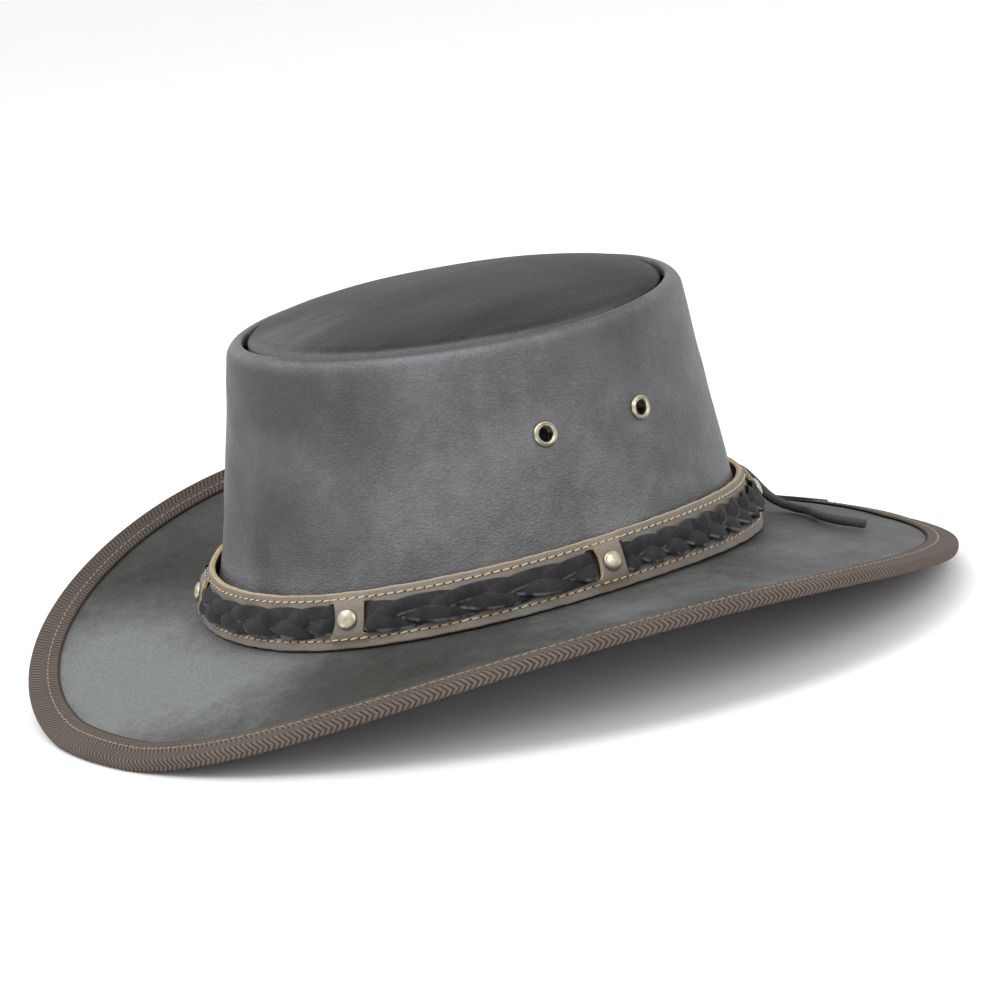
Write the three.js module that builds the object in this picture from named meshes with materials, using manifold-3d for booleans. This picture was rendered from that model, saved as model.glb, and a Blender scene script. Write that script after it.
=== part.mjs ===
// A leather bush hat standing on its brim: a crown with a domed top panel, a brim rolled up at both
// sides, a taped edge, and a hat band of leather with a suede plait, rivets and a loose lace end.
// Millimetres, +Z up. The hat's front is -Y and the wearer's left is +X. The origin lies on the
// surface that the hat rests on, under the middle of the brim.
import * as THREE from 'three';
import { mergeVertices } from 'three/addons/utils/BufferGeometryUtils.js';
import Module from 'manifold-3d';

// Driving dimensions
const LEATHER = 2.0; // thickness of the crown, the top panel and the brim
const CLEARANCE = 0.3; // gap between two pieces that touch

// The crown's foot, where the wall stands on the brim
const FOOT = {
  halfLength: 103.0,
  halfWidth: 84.1,
  roundness: 2.18, // exponent of the oval, 2 for an ellipse
  height: 25.8, // of the wall's lower edge above the surface, on average
  bow: 3.2, // how much higher it is at the sides, and lower at the front and back
  flare: 4.8, // how far the wall turns out at its foot
  flareHeight: 24.0,
  right: 1.5, // the crown's place on the brim: towards the wearer's right and the front
  front: 3.2,
};

// The crown's upper end
const TOP = {
  halfLength: 90.5,
  halfWidth: 73.4,
  roundness: 1.92,
  back: 2.1, // how far its middle lies behind the middle of the foot
  bow: 0.4, // how much higher it is at the front and back, and lower at the sides
};
const CROWN_HEIGHT = 97.2; // from the foot to the crest of the rim
const RIM = { roll: 4.8, width: 6.2, depth: 4.2, fold: 8.0 };
const PANEL = {
  edge: 4.6, // how far its margin turns down beside the rim
  shoulder: 2.2,
  dome: 9.4,
  dip: 1.2,
  lip: 0.07,
  short: 1.6, // gap that it leaves at the front and at the back of the rim
};

// Soft swellings (+) and dents (-) of the wall: where, how deep and how wide
const DENTS = [
  { angle: -78, share: 0.52, depth: 1.3, spread: 13, reach: 0.24 },
  { angle: -52, share: 0.6, depth: -1.5, spread: 12, reach: 0.2 },
  { angle: -20, share: 0.72, depth: -0.8, spread: 12, reach: 0.13 },
  { angle: 30, share: 0.45, depth: -0.9, spread: 15, reach: 0.16 },
  { angle: 128, share: 0.6, depth: -1.4, spread: 15, reach: 0.2 },
  { angle: 196, share: 0.5, depth: 1.1, spread: 16, reach: 0.2 },
  { angle: 232, share: 0.62, depth: -1.3, spread: 13, reach: 0.2 },
];
// The crown's top leans: it is highest at this angle and lowest across from it. height is half the
// difference, and middle is how much of it the whole top is raised by.
const LEAN = { angle: 150, height: 2.85, middle: 0.4 };

const BRIM = {
  halfLength: 180.8,
  halfWidth: 158.6,
  roundness: 2.02,
  roll: 20.2, // half the height between the rolled sides and the dips at the front and back
  curl: 1.25, // 1 for a straight slope from the crown to the edge, more where the edge curls
  margin: 12.0, // height of the sewn margin that turns up inside the crown
};
// Height of the brim's edge as waves round the hat, in shares of the roll: a wave's number, and its
// cosine and sine parts. Wave 2 rolls the sides up, and wave 1 makes the wearer's right side higher.
const EDGE_WAVES = [
  { wave: 0, cosine: 0.919, sine: 0 },
  { wave: 1, cosine: -0.301, sine: -0.095 },
  { wave: 2, cosine: 1.0, sine: -0.134 },
  { wave: 3, cosine: -0.102, sine: -0.061 },
  { wave: 4, cosine: 0.025, sine: -0.068 },
  { wave: 5, cosine: 0, sine: 0.031 },
];

// The tape that is folded over the brim's edge
const BINDING = { width: 10.5, thickness: 0.8, flat: 1.2, round: 0.9 };

// The hat band
const BAND = {
  thickness: 2.0,
  rise: 19.5, // height between its lower and upper edges
  slant: 1.4, // how much higher the upper edge is at the back, and lower at the front
  overBrim: 0.85, // gap between its lower edge and the foot of the crown
  gap: 0.5, // between its lower edge and the wall
  loose: 0.6, // how much wider the gap is at its upper edge
  standOff: 2.8, // how much further its upper edge stands off at the front and back
  bridgeLift: 2.6, // how far a bridge bulges out over the plait
  bridge: 11.0, // width of a bridge, between its two slots
  slot: 2.8, // width of a slot
  slotHeight: 14.0,
};
const RIVET_ANGLES = [-116.3, -58.4, -5, 61, 122, 182];
const RIVET = { diameter: 7.4, crown: 1.7, rim: 0.5, post: 2.4, sides: 8 };
const PLAIT = {
  halfWidth: 6.7,
  thickness: 3.0,
  pressedHalfWidth: 5.1, // under a bridge
  pressedThickness: 2.1,
  lobe: 15.0, // distance between two lobes along one edge
  scallop: 0.17, // how deep the edge is cut in between lobes, as a share of the half width
  relief: 0.6,
};
const KNOT = { angle: 90, length: 15.0, height: 15.5, thickness: 7.4 };

// Eyelets, two on each side of the crown
const EYELET = { spread: 13, height: 60.2, outer: 9.4, bore: 5.0, tube: 6.0, lip: 0.9, sides: 8 };
const EYELET_HOLE = EYELET.tube + 2 * CLEARANCE;

// The lace end's route, chosen by hand: from the knot down to the brim, and along it
const LACE = { diameter: 3.8, sides: 8, steps: 18 };
const LACE_POINTS = [
  [7.4, 115.8, 36.4],
  [11.4, 116.2, 34.8],
  [15.4, 116.4, 31.8],
  [20.0, 116.6, 28.2],
  [24.8, 117.2, 25.0],
  [30.0, 118.9, 22.5],
  [35.8, 120.4, 21.0],
  [41.6, 120.6, 20.7],
  [47.2, 118.9, 20.9],
  [52.6, 116.6, 21.2],
  [58.4, 115.2, 21.2],
  [64.2, 115.6, 20.7],
  [69.6, 117.4, 20.1],
  [74.6, 119.8, 19.2],
];

// How finely the solids are cut
const STEPS = 56;
const PANEL_STEPS = 42;
const STRAP_PANEL_STEPS = 9;

const SMALL = 1e-3;
const SLIVER = 0.1; // keeps a cut clear of the edge of the faces that it goes through
const mix = (a, b, share) => a + (b - a) * share;
const radians = (degrees) => degrees * Math.PI / 180;

// Turns round the hat in equal steps, from the wearer's left towards the back
function turns(steps) {
  return Array.from({ length: steps }, (_, step) => 2 * Math.PI * step / steps);
}

// How much of a soft bump is left at a distance from its middle
function bump(distance, spread) {
  return Math.exp(-((distance / spread) ** 2));
}

// Angle between two directions, in degrees, from -180 to 180
function angleBetween(angle, degrees) {
  const apart = THREE.MathUtils.radToDeg(angle) - degrees;
  return apart - 360 * Math.round(apart / 360);
}

// A point of an oval that is rounder or squarer than an ellipse
function oval(halfLength, halfWidth, roundness, angle) {
  const c = Math.cos(angle);
  const s = Math.sin(angle);
  const reach = (Math.abs(c) ** roundness + Math.abs(s) ** roundness) ** (-1 / roundness);
  return [halfWidth * reach * c, halfLength * reach * s];
}

// How far the wall stands out at its flared foot, at a height above the brim
function flareAt(rise) {
  const left = Math.max(0, 1 - rise / FOOT.flareHeight);
  return FOOT.flare * left ** 2;
}

// How far the dents and swellings move the wall
function dentAt(angle, share) {
  let depth = 0;
  for (const dent of DENTS) {
    const across = bump(angleBetween(angle, dent.angle), dent.spread);
    depth += dent.depth * across * bump(share - dent.share, dent.reach);
  }
  const aboveBand = THREE.MathUtils.smoothstep(share, 0.22, 0.36);
  const belowRim = THREE.MathUtils.smoothstep(1 - share, 0.03, 0.15);
  return depth * aboveBand * belowRim;
}

// How much higher the leaning top is, a share of the way from its middle to its rim
const leanAt = (angle, share) => LEAN.height * (LEAN.middle + share * Math.cos(angle - radians(LEAN.angle)));

// A point on the crown's line, at a height above the foot and moved outwards
function wallPoint(angle, rise, out) {
  const share = rise / CROWN_HEIGHT;
  const grow = out + dentAt(angle, share);
  const [x, y] = oval(
    mix(FOOT.halfLength, TOP.halfLength, share) + grow,
    mix(FOOT.halfWidth, TOP.halfWidth, share) + grow,
    mix(FOOT.roundness, TOP.roundness, share),
    angle,
  );
  const sides = Math.cos(2 * angle);
  const lift = leanAt(angle, 1) * share ** 4;
  const foot = FOOT.height + FOOT.bow * sides;
  const rim = FOOT.height + CROWN_HEIGHT - TOP.bow * sides;
  return new THREE.Vector3(x - FOOT.right, y - FOOT.front + TOP.back * share, mix(foot, rim, share) + lift);
}

// Half the thickness of the taped edge, which the brim's middle surface lies above the ground
const TAPED_HALF = LEATHER / 2 + CLEARANCE + BINDING.thickness;
const EDGE_REST = TAPED_HALF - 0.48;

function edgePoint(angle) {
  const [x, y] = oval(BRIM.halfLength, BRIM.halfWidth, BRIM.roundness, angle);
  let share = 0;
  for (const { wave, cosine, sine } of EDGE_WAVES) {
    share += cosine * Math.cos(wave * angle) + sine * Math.sin(wave * angle);
  }
  return new THREE.Vector3(x, y, EDGE_REST + Math.max(0, share * BRIM.roll));
}

// The brim's middle surface: reach runs from 0 at the crown to 1 at the edge
function brimMiddle(angle, reach) {
  const inner = wallPoint(angle, 0, FOOT.flare);
  inner.z -= CLEARANCE + LEATHER / 2;
  const edge = edgePoint(angle);
  const rise = (edge.z - inner.z) * Math.max(reach, 0) ** BRIM.curl;
  return new THREE.Vector3(mix(inner.x, edge.x, reach), mix(inner.y, edge.y, reach), inner.z + rise);
}

function brimWidth(angle) {
  return brimMiddle(angle, 0).distanceTo(brimMiddle(angle, 1));
}

// The hat band's outer face: share runs from 0 at its lower edge to 1 at its upper edge
function bandFace(angle, share) {
  const upper = BAND.overBrim + BAND.rise + BAND.slant * Math.sin(angle);
  const lowerOut = flareAt(BAND.overBrim) + BAND.gap + BAND.thickness;
  const loose = BAND.loose + BAND.standOff * Math.sin(angle) ** 8;
  const upperOut = flareAt(upper) + BAND.gap + loose + BAND.thickness;
  const lowerEdge = wallPoint(angle, BAND.overBrim, lowerOut);
  return lowerEdge.lerp(wallPoint(angle, upper, upperOut), share);
}

const BAND_SLANT = bandFace(0, 0).distanceTo(bandFace(0, 1));
const bandShare = (across) => 0.5 + across / BAND_SLANT;

// Directions of a surface at a point: along the hat, across the surface, and out of it
function frameOf(surface, angle, across) {
  const along = surface(angle + SMALL, across).sub(surface(angle - SMALL, across)).normalize();
  const over = surface(angle, across + SMALL).sub(surface(angle, across - SMALL)).normalize();
  const out = new THREE.Vector3().crossVectors(along, over).normalize();
  return { along, over: over.crossVectors(out, along), out };
}

function lifted(surface, angle, across, lift) {
  return surface(angle, across).addScaledVector(frameOf(surface, angle, across).out, lift);
}

// The brim's surfaces face up where the others face outwards, so its inward direction is used
const brimSurface = (angle, inward) => brimMiddle(angle, 1 - inward / brimWidth(angle));
const bandSurface = (angle, across) => bandFace(angle, bandShare(across));

// Angle that a length along the hat band takes up
function bandTurn(angle, length) {
  const ahead = bandSurface(angle + SMALL, 0).distanceTo(bandSurface(angle - SMALL, 0));
  return length * 2 * SMALL / ahead;
}

function buffer(points, triangles) {
  const geometry = new THREE.BufferGeometry();
  const places = new THREE.Float32BufferAttribute(points.flatMap((p) => p.toArray()), 3);
  geometry.setAttribute('position', places);
  geometry.setIndex(triangles.flat());
  geometry.computeVertexNormals();
  return geometry;
}

// A closed skin through sections that run round the hat. Each section is a loop of points that
// goes up on the outside and down on the inside. An open skin gets a flat cap at both ends.
function sweep(sections, closed) {
  const count = sections[0].length;
  const triangles = [];
  const spans = closed ? sections.length : sections.length - 1;
  for (let span = 0; span < spans; span += 1) {
    const here = span * count;
    const there = ((span + 1) % sections.length) * count;
    for (let k = 0; k < count; k += 1) {
      const next = (k + 1) % count;
      triangles.push([here + k, there + k, there + next], [here + k, there + next, here + next]);
    }
  }
  if (!closed) {
    const end = (sections.length - 1) * count;
    for (let k = 1; k < count - 1; k += 1) {
      triangles.push([0, k, k + 1], [end, end + k + 1, end + k]);
    }
  }
  return buffer(sections.flat(), triangles);
}

// A closed lid from rings of points: over its upper face to a pole, and from a pole down its
// lower face to the rim where it began
function lid(upperRings, upperPole, lowerPole, lowerRings) {
  const count = upperRings[0].length;
  const points = [...upperRings.flat(), ...lowerRings.flat(), upperPole, lowerPole];
  const triangles = [];
  const band = (from, to) => {
    for (let k = 0; k < count; k += 1) {
      const next = (k + 1) % count;
      triangles.push([from + k, from + next, to + next], [from + k, to + next, to + k]);
    }
  };
  const rings = upperRings.length + lowerRings.length;
  for (let ring = 0; ring < rings; ring += 1) {
    if (ring !== upperRings.length - 1) band(ring * count, ((ring + 1) % rings) * count);
  }
  const lastUpper = (upperRings.length - 1) * count;
  const firstLower = upperRings.length * count;
  for (let k = 0; k < count; k += 1) {
    const next = (k + 1) % count;
    triangles.push([lastUpper + k, lastUpper + next, rings * count]);
    triangles.push([rings * count + 1, firstLower + next, firstLower + k]);
  }
  return buffer(points, triangles);
}

const wasm = await Module();
wasm.setup();

function solid(geometry) {
  const bare = geometry.clone();
  bare.deleteAttribute('normal');
  bare.deleteAttribute('uv');
  const merged = mergeVertices(bare, 1e-4);
  return new wasm.Manifold(new wasm.Mesh({
    numProp: 3,
    vertProperties: new Float32Array(merged.attributes.position.array),
    triVerts: new Uint32Array(merged.index.array),
  }));
}

function cutFrom(geometry, cutters) {
  let body = solid(geometry);
  for (const cutter of cutters) body = body.subtract(solid(cutter));
  const { vertProperties, triVerts } = body.getMesh();
  const result = new THREE.BufferGeometry();
  result.setAttribute('position', new THREE.Float32BufferAttribute(vertProperties, 3));
  result.setIndex([...triVerts]);
  result.computeVertexNormals();
  return result;
}

// Materials
function finish(color, roughness, metalness = 0) {
  return new THREE.MeshStandardMaterial({ color, roughness, metalness });
}
const crownLeather = finish('#6a6d70', 0.62);
const panelLeather = finish('#5a5955', 0.58);
const brimLeather = finish('#5d5f5e', 0.6);
const tapeCloth = finish('#5c534e', 0.92);
const strapLeather = finish('#7d736b', 0.8);
const suede = finish('#2b2b2d', 0.95);
const brass = finish('#b8ab84', 0.35, 1);

const hat = new THREE.Group();

function add(name, geometry, material) {
  const mesh = new THREE.Mesh(geometry, material);
  mesh.name = name;
  hat.add(mesh);
  return mesh;
}

// Turns a mesh that is modelled along +Y, so that it stands out of a surface at a place on it
function standOn(mesh, surface, angle, across, lift) {
  const { along, out } = frameOf(surface, angle, across);
  const side = new THREE.Vector3().crossVectors(along, out);
  mesh.position.copy(surface(angle, across).addScaledVector(out, lift));
  mesh.quaternion.setFromRotationMatrix(new THREE.Matrix4().makeBasis(along, out, side));
  mesh.updateMatrix();
  return mesh;
}

// Crown wall: up the outside, over the folded rim and down the inside
const crownOutside = (angle, rise) => wallPoint(angle, rise, flareAt(rise));
const eyeletPlaces = [0, 180].flatMap((side) => [
  { side, angle: radians(side - EYELET.spread) },
  { side, angle: radians(side + EYELET.spread) },
]);

function crownSection(angle) {
  const shares = [0, 0.045, 0.12, 0.25, 0.42, 0.6, 0.78];
  const outside = shares.map((share) => crownOutside(angle, share * CROWN_HEIGHT));
  const roll = [0, 30, 60, 90].map((degrees) => {
    const turn = radians(degrees);
    const rise = CROWN_HEIGHT - RIM.roll * (1 - Math.sin(turn));
    return wallPoint(angle, rise, -RIM.roll * (1 - Math.cos(turn)));
  });
  const fold = [
    wallPoint(angle, CROWN_HEIGHT - 0.16 * RIM.depth, -mix(RIM.roll, RIM.width, 0.8)),
    wallPoint(angle, CROWN_HEIGHT - RIM.depth, -RIM.width),
    wallPoint(angle, CROWN_HEIGHT - RIM.fold, -LEATHER),
  ];
  const inside = [0.6, 0.42, 0.25, 0.12, 0].map((share) => {
    const rise = share * CROWN_HEIGHT;
    return wallPoint(angle, rise, flareAt(rise) - LEATHER);
  });
  return [...outside, ...roll, ...fold, ...inside];
}

function eyeletDrill(place) {
  const drill = new THREE.Mesh(new THREE.CylinderGeometry(
    EYELET_HOLE / 2, EYELET_HOLE / 2, 8 * LEATHER, EYELET.sides,
  ));
  standOn(drill, crownOutside, place.angle, EYELET.height, 0);
  return drill.geometry.applyMatrix4(drill.matrix);
}

const crownSkin = sweep(turns(STEPS).map(crownSection), true);
add('crown_side', cutFrom(crownSkin, eyeletPlaces.map(eyeletDrill)), crownLeather);

// Top panel: a margin that turns down beside the rim, a shoulder and a low dome
const panelInset = RIM.width + CLEARANCE;

function panelRing(share, height, inset) {
  return turns(PANEL_STEPS).map((angle) => {
    const [x, y] = oval(
      (TOP.halfLength - PANEL.short - inset) * share,
      (TOP.halfWidth - inset) * share,
      TOP.roundness,
      angle,
    );
    const z = FOOT.height + CROWN_HEIGHT - TOP.bow * Math.cos(2 * angle) * share + height;
    return new THREE.Vector3(x - FOOT.right, y - FOOT.front + TOP.back, z + leanAt(angle, share));
  });
}

function panelHeight(share) {
  const past = Math.max(0, (share - 1 + PANEL.lip) / PANEL.lip);
  return PANEL.shoulder * (1 - past ** 2) + PANEL.dome * (1 - share ** 2) - PANEL.dip;
}

const panelUpper = [1, 0.985, 0.955, 0.9, 0.78, 0.6, 0.35];
const panelLower = [0.35, 0.6, 0.78, 0.9];
const panelTop = FOOT.height + CROWN_HEIGHT + panelHeight(0) + leanAt(0, 0);
const panelMiddle = (z) => new THREE.Vector3(-FOOT.right, TOP.back - FOOT.front, z);
add('crown_top', lid(
  [
    panelRing(1, -PANEL.edge, panelInset),
    ...panelUpper.map((share) => panelRing(share, panelHeight(share), panelInset)),
  ],
  panelMiddle(panelTop),
  panelMiddle(panelTop - LEATHER),
  [
    ...panelLower.map((share) => panelRing(share, panelHeight(share) - LEATHER, panelInset)),
    panelRing(0.97, -PANEL.dip, panelInset + LEATHER / 2),
    panelRing(1, -PANEL.edge, panelInset + LEATHER),
  ],
), panelLeather);

// Brim: the under face outwards, the upper face inwards, and the margin that turns up in the crown
function brimSection(angle) {
  const width = brimWidth(angle);
  const outwards = [0.88 * width, 0.52 * width, BINDING.width, 0];
  const inwards = [width, ...outwards].reverse();
  const below = FOOT.flare - LEATHER - CLEARANCE;
  const marginOut = (rise) => flareAt(rise) - LEATHER - CLEARANCE;
  return [
    wallPoint(angle, -CLEARANCE - LEATHER, below),
    ...outwards.map((inward) => lifted(brimSurface, angle, inward, -LEATHER / 2)),
    ...inwards.map((inward) => lifted(brimSurface, angle, inward, LEATHER / 2)),
    wallPoint(angle, -CLEARANCE, below),
    wallPoint(angle, BRIM.margin, marginOut(BRIM.margin)),
    wallPoint(angle, BRIM.margin, marginOut(BRIM.margin) - LEATHER),
    wallPoint(angle, LEATHER / 2, marginOut(0) - LEATHER),
  ];
}
add('brim', sweep(turns(STEPS).map(brimSection), true), brimLeather);

// Binding: a tape folded over the edge, pressed flat where it rests on the ground
function bindingSection(angle) {
  const inner = LEATHER / 2 + CLEARANCE;
  const outer = inner + BINDING.thickness;
  const tip = CLEARANCE;
  const nose = tip + BINDING.thickness;
  const profile = [
    { inward: BINDING.width, lift: -outer },
    { inward: BINDING.flat - tip, lift: -outer },
    { inward: -tip, lift: -outer },
    { inward: -nose, lift: -outer + BINDING.round },
    { inward: -nose, lift: outer - BINDING.round },
    { inward: -tip, lift: outer },
    { inward: BINDING.width, lift: outer },
    { inward: BINDING.width, lift: inner },
    { inward: -tip, lift: inner },
    { inward: -tip, lift: -inner },
    { inward: BINDING.width, lift: -inner },
  ];
  return profile.map(({ inward, lift }) => {
    const point = lifted(brimSurface, angle, inward, lift);
    point.z = Math.max(point.z, 0);
    return point;
  });
}
add('brim_binding', sweep(turns(STEPS).map(bindingSection), true), tapeCloth);

// Hat band: a strap with two slots at each rivet and a bridge that bulges out between them
const rivets = RIVET_ANGLES.map(radians);
const slotOuter = BAND.bridge / 2 + BAND.slot;
const bulgeHalf = BAND.slotHeight / 2 - 1.8;

function strapSection({ angle, bridged }) {
  const half = BAND_SLANT / 2;
  const raised = bridged ? BAND.bridgeLift : 0;
  const rows = [
    { across: -half, lift: 0 },
    { across: -bulgeHalf, lift: raised },
    { across: bulgeHalf, lift: raised },
    { across: half, lift: 0 },
  ];
  const outer = rows.map(({ across, lift }) => lifted(bandSurface, angle, across, lift));
  const inner = rows.map(({ across, lift }) => lifted(bandSurface, angle, across, lift - BAND.thickness));
  return [...outer, ...inner.reverse()];
}

// Places round the band where a section is cut: at each rivet, and in steps between two rivets.
// A place is bridged where it lies at or under a bridge.
function bandStations(atRivet, stepsBetween) {
  const clear = atRivet[atRivet.length - 1].along;
  return rivets.flatMap((rivet, index) => {
    const next = index + 1 < rivets.length ? rivets[index + 1] : rivets[0] + 2 * Math.PI;
    const from = rivet + bandTurn(rivet, clear);
    const to = next - bandTurn(next, clear);
    const steps = stepsBetween(from, to);
    const between = Array.from({ length: steps - 1 }, (_, step) => (
      { angle: mix(from, to, (step + 1) / steps), bridged: false }
    ));
    const here = atRivet.map(({ along, bridged }) => ({ angle: rivet + bandTurn(rivet, along), bridged }));
    return [...here, ...between];
  });
}

function slotCutter(rivet, from, to) {
  const half = BAND.slotHeight / 2;
  const outside = BAND.bridgeLift + BAND.thickness;
  const inside = -2 * BAND.thickness;
  return sweep([from, to].map((along) => {
    const angle = rivet + bandTurn(rivet, along);
    const corners = [[-half, outside], [half, outside], [half, inside], [-half, inside]];
    return corners.map(([across, lift]) => lifted(bandSurface, angle, across, lift));
  }), false);
}

function postDrill(rivet) {
  const radius = RIVET.post / 2 + CLEARANCE;
  const drill = new THREE.Mesh(new THREE.CylinderGeometry(radius, radius, 4 * BAND.thickness, 8));
  standOn(drill, bandSurface, rivet, 0, BAND.bridgeLift);
  return drill.geometry.applyMatrix4(drill.matrix);
}

const strapStations = bandStations([
  { along: -slotOuter, bridged: false },
  { along: -BAND.bridge / 2, bridged: true },
  { along: 0, bridged: true },
  { along: BAND.bridge / 2, bridged: true },
  { along: slotOuter, bridged: false },
], () => STRAP_PANEL_STEPS);
add('band_strap', cutFrom(sweep(strapStations.map(strapSection), true), [
  ...rivets.map((rivet) => slotCutter(rivet, -slotOuter + SLIVER, -BAND.bridge / 2 - SLIVER)),
  ...rivets.map((rivet) => slotCutter(rivet, BAND.bridge / 2 + SLIVER, slotOuter - SLIVER)),
  ...rivets.map(postDrill),
]), strapLeather);

// Plait: lies on the strap between the bridges, and dips through the slots under each bridge. It is
// open at the back, where its two ends run into the knot.
const dipOuter = slotOuter - CLEARANCE;
const dipInner = BAND.bridge / 2 + CLEARANCE;
const pressedFloor = BAND.bridgeLift - BAND.thickness - CLEARANCE - PLAIT.pressedThickness;

function plaitSection({ angle, bridged, phase }) {
  const halfWidth = bridged ? PLAIT.pressedHalfWidth : PLAIT.halfWidth;
  const thickness = bridged ? PLAIT.pressedThickness : PLAIT.thickness;
  const floor = bridged ? pressedFloor : CLEARANCE;
  const depth = bridged ? 0 : 1;
  const upper = halfWidth * (1 - depth * PLAIT.scallop * (0.5 - 0.5 * Math.cos(phase)));
  const lower = halfWidth * (1 - depth * PLAIT.scallop * (0.5 + 0.5 * Math.cos(phase)));
  const upperRelief = depth * PLAIT.relief * (0.5 - 0.5 * Math.sin(phase));
  const lowerRelief = depth * PLAIT.relief * (0.5 + 0.5 * Math.sin(phase));
  const middle = floor + 0.4 * thickness;
  const profile = [
    { across: -lower, lift: middle },
    { across: -0.55 * lower, lift: floor + thickness - lowerRelief },
    { across: 0.55 * upper, lift: floor + thickness - upperRelief },
    { across: upper, lift: middle },
    { across: 0.8 * upper, lift: floor },
    { across: -0.8 * lower, lift: floor },
  ];
  return profile.map(({ across, lift }) => lifted(bandSurface, angle, across, lift));
}

function plaitSections() {
  const knot = radians(KNOT.angle);
  const tuck = bandTurn(knot, KNOT.length / 2 + CLEARANCE);
  const start = knot + tuck;
  const end = knot + 2 * Math.PI - tuck;
  const spare = bandTurn(knot, 2 * CLEARANCE);
  const steps = (from, to) => Math.round((to - from) / bandTurn((from + to) / 2, PLAIT.lobe / 3));
  const stations = bandStations([
    { along: -dipOuter, bridged: false },
    { along: -dipInner, bridged: true },
    { along: dipInner, bridged: true },
    { along: dipOuter, bridged: false },
  ], steps).map(({ angle, bridged }) => ({ angle: angle < knot ? angle + 2 * Math.PI : angle, bridged }));
  const inside = stations.filter(({ angle }) => angle > start + spare && angle < end - spare);
  inside.sort((one, other) => one.angle - other.angle);
  let length = 0;
  let last = bandSurface(start, 0);
  return [{ angle: start, bridged: false }, ...inside, { angle: end, bridged: false }].map((station) => {
    const here = bandSurface(station.angle, 0);
    length += here.distanceTo(last);
    last = here;
    return plaitSection({ ...station, phase: 2 * Math.PI * length / PLAIT.lobe });
  });
}
add('plait', sweep(plaitSections(), false), suede);

// Rivets: a domed cap on each bridge, with a post through the bridge down to the plait
const postLength = BAND.thickness + CLEARANCE;
const rivetProfile = [
  [0, -postLength],
  [RIVET.post / 2, -postLength],
  [RIVET.post / 2, 0],
  [RIVET.diameter / 2 - 0.2, 0],
  [RIVET.diameter / 2, RIVET.rim],
  [0.4 * RIVET.diameter, 0.66 * RIVET.crown],
  [0.22 * RIVET.diameter, 0.93 * RIVET.crown],
  [0, RIVET.crown],
].map(([radius, height]) => new THREE.Vector2(radius, height));
rivets.forEach((rivet, index) => {
  const mesh = add(`rivet_${index + 1}`, new THREE.LatheGeometry(rivetProfile, RIVET.sides), brass);
  standOn(mesh, bandSurface, rivet, 0, BAND.bridgeLift + CLEARANCE);
});

// Eyelets: an outer lip, a tube through the wall and a smaller inner lip
const innerFace = -LEATHER - CLEARANCE;
const eyeletProfile = [
  [EYELET.bore / 2, innerFace - 0.6 * EYELET.lip],
  [EYELET.bore / 2, 0.9 * EYELET.lip],
  [EYELET.tube / 2 + CLEARANCE, CLEARANCE + EYELET.lip],
  [EYELET.outer / 2 - 0.4, CLEARANCE + 0.7 * EYELET.lip],
  [EYELET.outer / 2, CLEARANCE],
  [EYELET.tube / 2, CLEARANCE],
  [EYELET.tube / 2, innerFace],
  [EYELET.outer / 2 - 0.6, innerFace],
  [EYELET.outer / 2 - 0.6, innerFace - 0.6 * EYELET.lip],
  [EYELET.bore / 2, innerFace - 0.6 * EYELET.lip],
].reverse().map(([radius, height]) => new THREE.Vector2(radius, height));
eyeletPlaces.forEach(({ side, angle }, index) => {
  const name = `eyelet_${side === 0 ? 'left' : 'right'}_${index % 2 + 1}`;
  const mesh = add(name, new THREE.LatheGeometry(eyeletProfile, EYELET.sides), brass);
  standOn(mesh, crownOutside, angle, EYELET.height, 0);
});

// Knot that ties the plait's ends at the back
const knotShape = new THREE.SphereGeometry(0.5, 10, 8).scale(KNOT.length, KNOT.thickness, KNOT.height);
const laceKnot = add('lace_knot', knotShape, suede);
standOn(laceKnot, bandSurface, radians(KNOT.angle), 0, CLEARANCE + KNOT.thickness / 2);

// Lace end: a round thong along its route
const laceSection = new THREE.Shape(Array.from({ length: LACE.sides }, (_, side) => {
  const turn = 2 * Math.PI * (side + 0.5) / LACE.sides;
  return new THREE.Vector2(Math.cos(turn), Math.sin(turn)).multiplyScalar(LACE.diameter / 2);
}));
const laceRoute = new THREE.CatmullRomCurve3(LACE_POINTS.map((point) => new THREE.Vector3(...point)));
add('lace_tail', new THREE.ExtrudeGeometry(laceSection, {
  steps: LACE.steps,
  extrudePath: laceRoute,
  bevelEnabled: false,
}), suede);

export default hat;
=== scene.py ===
"""A leather bush hat with a riveted, plaited band: its looks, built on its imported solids.

Lengths in this file are in millimetres. The hat's front is -Y and the wearer's left is +X.
"""
import math

import bpy
import numpy as np
from mathutils import Matrix, Vector


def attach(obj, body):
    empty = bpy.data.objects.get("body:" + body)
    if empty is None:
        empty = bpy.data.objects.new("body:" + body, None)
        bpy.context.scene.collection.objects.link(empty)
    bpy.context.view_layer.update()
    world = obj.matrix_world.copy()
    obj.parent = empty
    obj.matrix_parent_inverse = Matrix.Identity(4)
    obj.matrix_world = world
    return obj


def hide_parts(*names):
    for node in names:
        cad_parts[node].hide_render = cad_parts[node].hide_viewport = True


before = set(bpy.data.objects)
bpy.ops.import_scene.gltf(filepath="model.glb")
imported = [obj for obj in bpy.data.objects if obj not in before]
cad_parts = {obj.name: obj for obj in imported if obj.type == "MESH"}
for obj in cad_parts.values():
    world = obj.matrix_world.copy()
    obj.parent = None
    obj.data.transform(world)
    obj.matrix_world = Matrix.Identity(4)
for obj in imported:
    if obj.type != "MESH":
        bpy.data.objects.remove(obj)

bl_info = {
    "name": "Leather bush hat",
    "version": (1, 0, 0),
    "blender": (4, 5, 0),
    "location": "3D View > Sidebar > Hat",
    "description": "Builds a leather bush hat with a plaited band on its solids",
    "category": "Object",
}

MM = 0.001
TURN = 2 * math.pi

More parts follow.
